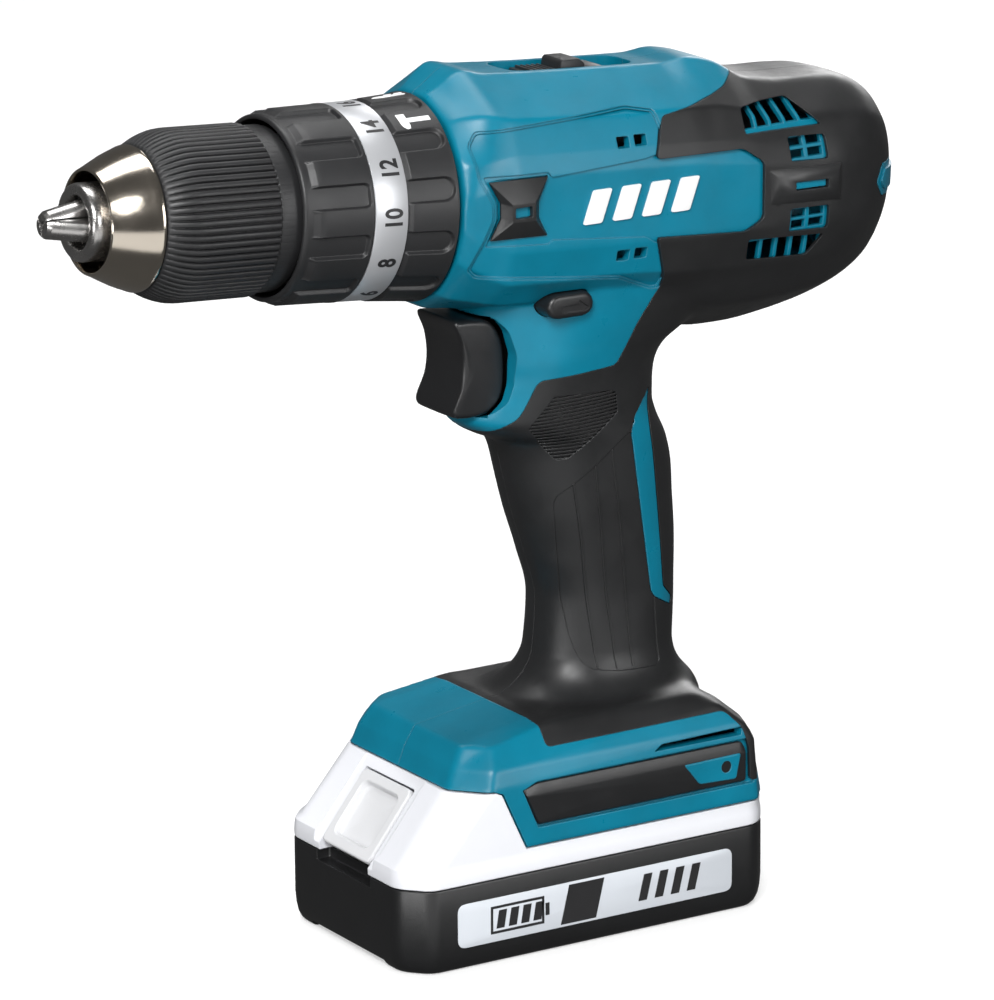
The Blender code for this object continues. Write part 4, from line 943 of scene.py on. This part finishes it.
def wrap_text(name, text, turn, height, size, squeeze):
    """Setting number bent round the silver band."""
    curve = bpy.data.curves.new(name, 'FONT')
    curve.body = text
    curve.align_x, curve.align_y = 'CENTER', 'CENTER'
    curve.size = size * 1.37 * MM
    curve.extrude = 0.04 * MM
    curve.offset = 0.2 * MM
    curve.resolution_u = 4
    flat = link(name, curve)
    bpy.context.view_layer.update()
    mesh = bpy.data.meshes.new_from_object(flat.evaluated_get(
        bpy.context.evaluated_depsgraph_get()))
    drop(flat)
    obj = link(name, mesh)
    co = points_of(mesh)
    co[:, 0] *= squeeze
    co -= (co.max(0) + co.min(0)) / 2
    put_points(mesh, co)
    wrapped(obj, turn, height, band_radius, 0.03)
    piece(obj, name, BLACK_INK, like="number_band", angle=30)


def plate(name, outlines, depth=0.2):
    """Flat outlines (x, y) as thin closed plates in one piece, millimetres."""
    return joined(name, [drawn_out("outline", [[(x, y, z) for x, y in outline]
                                               for z in (0, depth)]) for outline in outlines])


def icons():
    """Hammer, drill bit and screw symbols on the mode ring."""
    hammer = [[(-0.8, -4.7), (0.8, -4.7), (0.8, 2.0), (-0.8, 2.0)],
              [(-3.0, 2.3), (-1.9, 2.0), (2.6, 2.0), (2.6, 4.5), (-1.4, 4.5), (-2.4, 4.1),
               (-3.2, 3.2)]]
    drill = [[(-0.9, -5), (-0.2, -5), (0.2, 2), (0, 4.2), (-0.5, 5.2), (-1, 4), (-1.3, 2)],
             [(0.7, -5), (1.5, -5), (1.3, -2.6), (0.6, -2.4)],
             [(0.6, -1.6), (1.3, -1.8), (1.2, 0.6), (0.6, 0.8)]]
    screw = [[(-1.9, -4.6), (1.9, -4.6), (1.2, -2.9), (-1.2, -2.9)],
             [(-0.8, -2.2), (0.8, -2.2), (0.8, 2.6), (0, 4.6), (-0.8, 2.6)]]
    for tag, outlines, degrees, s in (("hammer", hammer, -31, 7.6), ("drill", drill, 0, 7.4),
                                      ("screw", screw, 30, 7.6)):
        mark = wrapped(plate(tag, outlines), math.radians(degrees), s, mode_radius, -0.02)
        piece(mark, "mode_icon_" + tag, WHITE_INK, like="mode_ring", angle=30)


def aim_jaw(obj, index):
    """Turn a piece from local Z on to the line along which one jaw slides."""
    obj.data.transform(Matrix.Rotation(index * 2 * math.pi / 3, 4, 'Z')
                       @ Matrix.Translation((0, 0, JAW_APEX * MM))
                       @ Matrix.Rotation(-JAW_LEAN, 4, 'Y'))
    return obj


def build_chuck():
    body = rod("chuck_core", 16.8, 50, 80.2, 96)
    front = turned("chuck_front", [(0.5, 79.9), (16.6, 79.9), (10.5, 91.5), (10.5, 100.3),
                                   (10.3, 101.2), (9.7, 101.8), (8.9, 102.0), (7.9, 101.9),
                                   (7.3, 101.4), (6.9, 100.4), (6.9, 90), (0.5, 88)], 128)
    cut(body, rod("core_bore", 6.9, 40, 90, 64))
    cut(front, rod("front_bore", 6.9, 40, 110, 64))
    cut(body, front, 'UNION')
    for i in range(3):
        cut(body, aim_jaw(rod("jaw_tunnel", 3.85, -53.5, 6, 48), i))
    piece(on_axis(body), "chuck_core_steel", STEEL, replaces="chuck_body")
    for i in range(3):
        jaw = aim_jaw(rod("jaw", 3.5, -31.4, 0.3, 64), i)
        for sign in (-1, 1):
            wall = block("jaw_side", (-40, 0, 60), (40, 60, 130))
            spin = i * 2 * math.pi / 3 + sign * math.pi / 3 + (0 if sign > 0 else math.pi)
            place = (Matrix.Translation((-0.26 * MM * math.cos(spin + math.pi / 2),
                                         -0.26 * MM * math.sin(spin + math.pi / 2), 0))
                     @ Matrix.Rotation(spin, 4, 'Z'))
            wall.data.transform(place)
            cut(jaw, wall)
        cut(jaw, rod("grip_hole", 1.1, 60, 130, 24))
        cut(jaw, turned("tip_trim", [(0.01, JAW_APEX), (3.0, 111.5), (3.75, 110.6), (30, 109.5),
                                     (30, 140), (0.01, 140)], 64))
        bevelled(jaw, 0.22, 2, 50)
        piece(on_axis(jaw), "jaw_steel_%d" % (i + 1), STEEL, replaces="jaw_%d" % (i + 1))
    cone = turned("cone", [(13.1, 96.8), (13.2, 97.7), (13.5, 98.3), (13.9, 98.4), (14.3, 98.1),
                           (14.9, 96.7), (15.9, 94.7), (17.6, 91.2), (18.5, 88.9), (18.95, 87.6),
                           (19.45, 86.3), (19.6, 85.6), (19.5, 85.1), (19.2, 84.9), (16.4, 84.9),
                           (13.1, 91.6)], 200)
    piece(on_axis(cone), "nose_cone_nickel", NICKEL, replaces="nose_cone",
          angle=24)


# ---- controls and trim -----------------------------------------------------------------
def smooth_outline(corners, per_side=6):
    return [tuple(p) for p in around(corners, per_side, 1.0)]


def build_trigger():
    outline = smooth_outline([(-24.9, 175.6), (-23.0, 170.5), (-22.2, 164), (-23.0, 157.5),
                              (-25.2, 152.4), (-25.6, 150.2), (-24.0, 148.8), (-18, 148.5),
                              (-13.6, 149.6), (-10.3, 152.9), (-9.1, 158), (-9.1, 166),
                              (-10.9, 171.8), (-13.8, 175.0), (-18, 175.9), (-22.5, 176.1)], 4)
    rings = []
    middle = Vector((-15.5, 162.5))
    for y, pull in ((-10.4, -1.7), (-10.35, -1.2), (-10.15, -0.7), (-9.75, -0.3), (-9.2, -0.08),
                    (-8.4, 0.0), (-4, 0.1), (0, 0.12), (4, 0.1), (8.4, 0.0), (9.2, -0.08),
                    (9.75, -0.3), (10.15, -0.7), (10.35, -1.2), (10.4, -1.7)):
        row = []
        for x, z in outline:
            away = (Vector((x, z)) - middle).normalized()
            row.append((x + away.x * pull, y, z + away.y * pull))
        rings.append(row)
    trigger = loft("trigger", rings)
    piece(trigger, "trigger_moulding", GLOSS_BLACK, replaces="trigger_button",
          angle=50)


def build_lever():
    outline = pill(2.6, 180.3, 14.8, 7.0, 10)
    rows = []
    for y, inset in ((-26.2, 1.5), (-26.1, 0.9), (-25.8, 0.4), (-25.2, 0.08), (-24.6, 0),
                     (21.4, 0)):
        rows.append([(x, y, z) for x, z in grown(outline, -inset)])
    lever = loft("lever", rows)
    cut(lever, on_axis(rod("relief", 25.2, -60, 10, 96)))
    arrow = [(-0.6, 178.6), (6.8, 178.4), (8.3, 179.3), (4.9, 181.6), (5.1, 180.5),
             (-0.6, 180.4)]
    cut(lever, prism("arrow", rounded_outline(arrow, 0.3, 3), -40, -25.75))
    piece(lever, "reverse_lever_moulding", GLOSS_BLACK, replaces="reverse_lever")


def build_selector():
    slide = block("slide", (30.4, -6.8, -59.5), (32.2, 6.8, -35.1), 0.5, 2)
    tab = prism("tab", [(31.2, -52.6), (34.3, -52.4), (35.6, -50.6), (35.5, -45.4),
                        (34.9, -44.7), (31.2, -44.2)], -5.1, 5.1)
    cut(slide, bevelled(tab, 0.5), 'UNION')
    cut(slide, block("step", (31.2, -5.1, -58.4), (33.3, 5.1, -52.2), 0.4, 2), 'UNION')
    for i in range(5):
        s = -36.4 - 1.7 * i
        cut(slide, block("rib", (31.6, -5.6, s - 0.8), (33.0, 5.6, s), 0.25, 2), 'UNION')
    piece(on_axis(slide), "speed_selector_moulding", RING_MAT, replaces="speed_selector")


def stacked(name, outline, layers, side):
    """Plate on a shell's side: (distance out, inset, top inset) layers of an outline."""
    rows = []
    for out, inset, top in layers:
        ring = grown(outline, -inset) if inset else list(outline)
        high = max(z for x, z in outline)
        ring = [(x, min(z, high - top)) for x, z in ring]
        rows.append([(x, side * out, z) for x, z in ring])
    return loft(name, rows)


def build_trim():
    for side, tag in SIDES:
        panel = stacked("panel", rounded_outline([(-19.9, 48.5), (-15.2, 49.9), (52.6, 50.1),
                                                  (54.2, 47.2), (54.2, 38.1), (-15.0, 37.8)], 1.2),
                        [(34.35, 0, 0), (34.9, 0, 0), (35.1, 0.15, 0.2), (35.65, 0.6, 3.1),
                         (35.7, 0.9, 3.5)], side)
        bevelled(panel, 0.18, 2, 20)
        piece(panel, "base_panel_" + tag, GLOSS_BLACK, replaces="base_pad_" + tag)
        tab = stacked("tab", rounded_outline(TAB, 0.9), [(35.2, 0, 0), (35.75, 0, 0),
                                                         (35.95, 0.25, 0.2)], side)
        cut(tab, hole_through(47.0, 43.7, 1.7))
        piece(tab, "base_badge_" + tag, TEAL, like="housing_left")
        bow = bow_pad(side)
        piece(bow, "side_bow_" + tag, RUBBER_MAT, replaces="side_pad_" + tag,
              angle=20)
        chip = stacked("chip", rounded_outline([(-19.3, 208.1), (-19.3, 211.0), (-13.3, 211.0),
                                                (-13.3, 208.1)], 0.4),
                       [(29.6, 0, 0), (30.75, 0, 0)], side)
        piece(chip, "side_window_" + tag, TEAL, like="housing_left")
    pitch, wide, lean = 9.5, 9.5 * 0.62, 3.4
    bars = [[(x, 203.2), (x + wide, 203.2), (x + wide + lean, 212.4), (x + lean, 212.4)]
            for x in (4.0 + pitch * k for k in range(4))]
    for side, tag in SIDES:
        marks = joined("marks", [prism("bar", rounded_outline(bar, 0.7, 4),
                                       *outward(side, 29.3, 30.25)) for bar in bars])
        bevelled(marks, 0.12, 2, 40)
        piece(marks, "side_stripes_" + tag, WHITE_INK, like="housing_left")
    arrow = bevelled(plate("arrow", [[(0, 0), (9.5, -2.9), (9.5, 2.9)]], 0.55), 0.15, 2, 40)
    slope = math.atan2(6.6, 10.1)
    arrow.data.transform(axis_matrix() @ Matrix.Translation((28.9 * MM, 0, -0.7 * MM))
                         @ Matrix.Rotation(math.pi / 2 + slope, 4, 'Y'))
    piece(arrow, "pointer_mark", TEAL, like="housing_left")


def hole_through(x, z, radius):
    tool = rod("hole", radius, -60, 60, 32)
    tool.data.transform(Matrix.Translation((x * MM, 0, z * MM))
                        @ Matrix.Rotation(math.pi / 2, 4, 'X'))
    return tool


def bow_pad(side):
    """Waisted rubber pad with four sloping facets about a small window."""
    outer = [(-25.9, 218.6), (-7.4, 218.1), (-10.4, 211.6), (-10.4, 207.2), (-7.8, 202.0),
             (-25.8, 202.6), (-22.4, 208.2), (-22.4, 212.6)]
    inner = [(-19.9, 212.2), (-12.8, 212.0), (-12.6, 211.2), (-12.6, 208.0), (-12.8, 207.0),
             (-19.8, 207.2), (-20.0, 208.2), (-20.0, 211.4)]
    pad = drawn_out("bow", [[(x, side * out, z) for x, z in points]
                            for points, out in ((outer, 29.6), (outer, 30.2), (inner, 32.3))])
    window = rounded_outline([(-19.0, 208.1), (-19.0, 211.1), (-13.6, 211.1), (-13.6, 208.1)],
                             0.5)
    cut(pad, prism("window", window, *outward(side, 30.4, 40)))
    return bevelled(pad, 0.22, 2, 10)


def build_screws():
    for i, (x, z) in enumerate([(12, 232), (52, 232), (100, 218), (100, 180), (36, 170),
                                (28, 118), (-15.7, 56.1)]):
        screw = turned("screw", [(0.02, 12.3), (1.6, 12.25), (2.4, 12.0), (2.75, 11.6), (2.8, 11.2),
                                 (2.8, 9.7), (1.2, 9.6), (1.2, -6), (0.02, -7.2)], 48)
        lobes = [((1.25 + 0.28 * math.cos(6 * a)) * math.cos(a),
                  (1.25 + 0.28 * math.cos(6 * a)) * math.sin(a))
                 for a in np.arange(48) * 2 * math.pi / 48]
        socket = loft("socket", [[(p, q, h) for p, q in lobes] for h in (10.6, 13)])
        cut(screw, socket)
        screw.data.transform(Matrix.Translation((x * MM, 0, z * MM))
                             @ Matrix.Rotation(-math.pi / 2, 4, 'X'))
        piece(screw, "case_screw_%d" % (i + 1), DARK_STEEL,
              replaces="housing_screw_%d" % (i + 1))


# ---- battery ---------------------------------------------------------------------------
def battery_ring(inset, z, front=0.0):
    """Level outline of the battery, drawn in by an inset, its front a further step back."""
    w = 35.5 - inset
    half = [(-56.7 + inset + front, 27.7 - inset / 2), (-49.5 + inset / 2 + front, w),
            (57.6 - inset / 2, w), (63.3 - inset, 30 - inset / 2)]
    return mirrored(half, z, 3.0)


def aim_latch(obj):
    """Turn a piece from local Z on to the sloping front of the battery cover."""
    obj.data.transform(Matrix.Translation((-48.9 * MM, 0, 36.9 * MM))
                       @ Matrix.Rotation(math.radians(-51.8), 4, 'Y'))
    return obj


def build_battery():
    case = loft("case", [battery_ring(3.2, 0.05), battery_ring(2.3, 0.3), battery_ring(1.4, 1.2),
                         battery_ring(0.7, 2.8), battery_ring(0.25, 5.2), battery_ring(0, 8.5),
                         battery_ring(0, 24.1), battery_ring(0.15, 24.5), battery_ring(0.3, 24.6)])
    cut(case, block("front_gap", (-70, -20, -3), (-49.5, 20, 1.9), 0.8))
    cut(case, block("under_gap", (-44, -30, -3), (50, 30, 0.9), 0.6))
    cut(case, loft("cell_room", [battery_ring(2.4, 5.4, 4.0), battery_ring(2.4, 40, 4.0)]))
    cut(case, block("latch_notch", (-70, -14.4, 21.6), (-52.4, 14.4, 29), 0.6))
    piece(case, "battery_case_moulding", CASE_MAT, replaces="battery_case")

    cover = loft("cover", [battery_ring(0.25, 24.85), battery_ring(0.05, 25.1),
                           battery_ring(0, 26.5), battery_ring(0.1, 28.4),
                           battery_ring(0.4, 30.0),
                           mirrored([(-54.3, 27.2), (-47.0, 35.2), (57.4, 35.2), (63.0, 30)],
                                    31.2, 3.0),
                           mirrored([(-38.9, 25.9), (-30.6, 35.2), (57.4, 35.2), (62.9, 30)],
                                    50, 3.0)])
    slab = prism("slab", [(-60, 20), (65, 20), (65, 31.5), (-18.9, 31.5), (-26.7, 48.4),
                          (-28.6, 49.25), (-58, 49.4)], -36.5, 36.5)
    cut(cover, slab, 'INTERSECT')
    cut(cover, block("rail_neck", (-26, -20.5, 29), (55, 20.5, 40)), 'UNION')
    cut(cover, block("rail_head", (-26, -24.5, 37), (55, 24.5, 44.5)), 'UNION')
    for y in (-9, 9):
        cut(cover, block("contact_slot", (0, y - 1.2, 33), (60, y + 1.2, 46)))
    cut(cover, loft("cover_room", [battery_ring(2.4, 20, 5.0), battery_ring(2.4, 28.9, 5.0)]))
    cut(cover, aim_latch(block("front_step", (-30, -15.8, -0.15), (16.2, 15.8, 8), 0.5)))
    cut(cover, block("cover_room", (-37.5, -29, 28), (-21.5, 29, 45)))
    cut(cover, aim_latch(block("latch_pocket", (-20, -13.2, -5.2), (12.5, 13.2, 8), 0.9)))
    cut(cover, block("latch_notch", (-70, -13.2, 21.6), (-52.4, 13.2, 29), 0.8))
    piece(cover, "battery_cover_moulding", WHITE_MAT, replaces="battery_cover",
          angle=25)

    face = rounded_outline([(-11.7, -12.8), (12.0, -12.8), (12.0, 12.8), (-11.7, 12.8)], 2.4, 6)
    latch = loft("latch", [[(x, y, h) for x, y in grown(face, -inset)]
                           for h, inset in ((-3.4, 0.5), (-3.0, 0.1), (-0.2, 0), (0.25, 0.15),
                                            (0.5, 0.55))])
    dish = rounded_outline([(-8.0, -9.2), (8.6, -9.2), (8.6, 9.2), (-8.0, 9.2)], 2.6, 6)
    cut(latch, loft("dish", [[(x, y, h) for x, y in grown(dish, grow)]
                             for h, grow in ((-1.55, -1.6), (-1.45, -0.9), (-1.1, -0.3), (0.2, 0.2),
                                             (0.6, 0.7), (3, 0.7))]))
    piece(aim_latch(latch), "latch_button", LATCH_MAT, replaces="battery_latch",
          angle=30)
    for side, tag in SIDES:
        outline = rounded_outline([(-41.5, 6.9), (49.0, 6.9), (49.0, 19.5), (-41.5, 19.5)], 2.6, 6)
        label = stacked("label", outline, [(35.52, 0, 0), (35.72, 0, 0), (35.77, 0.12, 0)], side)
        piece(label, "label_" + tag, LABEL_MAT, replaces="battery_label_" + tag)
        label_marks(side, tag)


def label_marks(side, tag):
    """Plain battery symbol, dark block and slanted bars on the label."""
    def mark(name, outlines):
        parts = [prism("mark", [(x if side < 0 else 7.5 - x, z) for x, z in outline],
                       *outward(side, 35.74, 35.84)) for outline in outlines]
        piece(joined(name, parts), name + "_" + tag, BLACK_INK, like="battery_case")

    def frame_bars(x0, z0, x1, z1, t):
        return [[(x0, z0), (x1, z0), (x1, z0 + t), (x0, z0 + t)],
                [(x0, z1 - t), (x1, z1 - t), (x1, z1), (x0, z1)],
                [(x0, z0 + t), (x0 + t, z0 + t), (x0 + t, z1 - t), (x0, z1 - t)],
                [(x1 - t, z0 + t), (x1, z0 + t), (x1, z1 - t), (x1 - t, z1 - t)]]

    symbol = frame_bars(-31, 9.2, -13.6, 17.2, 0.75) + [[(-13.2, 11.4), (-11.9, 11.4),
                                                      (-11.9, 15.0), (-13.2, 15.0)]]
    symbol += [[(x, 10.6), (x + 2.6, 10.6), (x + 3.5, 15.8), (x + 0.9, 15.8)]
               for x in (-29.2, -25.2, -21.2, -17.2)]
    mark("charge_symbol", symbol)
    slab = [[(-8.2, 7.6), (3.4, 7.6), (6.2, 18.8), (-5.4, 18.8)]]
    slab += [[(x, 9.6), (x + 2.8, 9.6), (x + 4.7, 17.2), (x + 1.9, 17.2)]
             for x in (17.5, 22.9, 28.3, 33.7)]
    mark("label_block", slab)


# ---- studio ----------------------------------------------------------------------------
def area_light(name, place, aim, size, power):
    data = bpy.data.lights.new(name, 'AREA')
    data.shape = 'RECTANGLE'
    data.size, data.size_y = size
    data.energy = power
    lamp = link(name, data)
    lamp.location = place
    lamp.visible_camera = False
    lamp.rotation_euler = (Vector(aim) - Vector(place)).to_track_quat('-Z', 'Y').to_euler()


def build_studio():
    world = bpy.data.worlds.new("studio")
    bpy.context.scene.world = world
    world.use_nodes = True
    world.node_tree.nodes["Background"].inputs["Color"].default_value = (1, 1, 1, 1)
    world.node_tree.nodes["Background"].inputs["Strength"].default_value = 0.10
    area_light("key", (-1.15, -1.35, 1.35), (0, 0, 0.15), (0.75, 0.75), 52)
    area_light("fill", (0.75, -1.9, 0.6), (0.03, 0, 0.12), (0.7, 1.0), 17)
    area_light("top", (0.15, 0.45, 1.8), (0.02, 0, 0.15), (1.5, 0.8), 22)
    area_light("back", (1.3, 1.1, 0.75), (0.03, 0, 0.14), (0.7, 0.9), 9)
    area_light("low_left", (-1.4, -0.7, 0.12), (-0.1, 0, 0.2), (0.8, 0.2), 7)
    area_light("card", (-0.2, -0.42, 0.01), (-0.13, 0, 0.2), (0.5, 0.26), 0.45)
    bm = bmesh.new()
    bmesh.ops.create_grid(bm, x_segments=8, y_segments=8, size=8)
    floor = from_bmesh("studio_floor", bm)
    floor.location = (0, 0, -0.0002)
    paper = finish_of("floor_paper", (0.55, 0.55, 0.55), 0.9, grain=(400, 0.01), mottle=0.01,
                      edge_wear_and_highlight=0.0, edge=0.01)
    glow = paper.node_tree.nodes["Principled BSDF"]
    glow.inputs["Emission Color"].default_value = (1, 1, 1, 1)
    glow.inputs["Emission Strength"].default_value = 0.5
    glow.inputs["Specular IOR Level"].default_value = 0.0
    floor.visible_diffuse = floor.visible_glossy = False
    dress(floor, paper)
    backdrop = loft("studio_backdrop", [
        [(8000 * math.cos(a) * c, 8000 * math.sin(a) * c, h)
         for a in np.arange(48) * math.pi / 24] for c, h in ((1, -3), (1, 3000), (0.5, 6500))])
    white = bpy.data.materials.new("backdrop_white")
    white.use_nodes = True
    white.node_tree.nodes["Principled BSDF"].inputs["Emission Color"].default_value = (1, 1, 1, 1)
    white.node_tree.nodes["Principled BSDF"].inputs["Emission Strength"].default_value = 1.0
    backdrop.visible_diffuse = backdrop.visible_glossy = backdrop.visible_shadow = False
    dress(backdrop, white)


def build_camera():
    data = bpy.data.cameras.new("camera")
    data.lens, data.sensor_width = 216.0, 36.0
    data.clip_start, data.clip_end = 0.05, 50
    camera = link("camera", data)
    yaw, pitch, roll = math.radians(32.0), math.radians(15.38), math.radians(-0.469)
    look = Vector((math.sin(yaw) * math.cos(pitch), math.cos(yaw) * math.cos(pitch),
                   -math.sin(pitch)))
    right = Vector((math.cos(yaw), -math.sin(yaw), 0))
    above = right.cross(look)
    right, above = (math.cos(roll) * right + math.sin(roll) * above,
                    math.cos(roll) * above - math.sin(roll) * right)
    turn = Matrix((right, above, -look)).transposed().to_4x4()
    camera.matrix_world = Matrix.Translation(Vector((-853.92, -1357.70, 561.33)) * MM) @ turn
    bpy.context.scene.camera = camera


def paint_inner_nodes():
    """Finishes for the CAD solids that stay, by their material slots."""
    slots = {entry["node"]: entry["material_slot"] for entry in frame["record"]["subparts"]}
    for name, obj in frame["nodes"].items():
        if obj.hide_render:
            continue
        mat = CELL_MAT if name.startswith("cell_") else SLOT_FINISH.get(slots.get(name), CAST)
        if not obj.data.materials:
            obj.data.materials.append(mat)
        for slot in obj.material_slots:
            slot.material = mat


build_studio()
build_camera()
build_shells()
build_rings()
build_chuck()
build_trigger()
build_lever()
build_selector()
build_trim()
build_screws()
build_battery()
paint_inner_nodes()
bpy.context.scene.view_settings.view_transform = 'Standard'
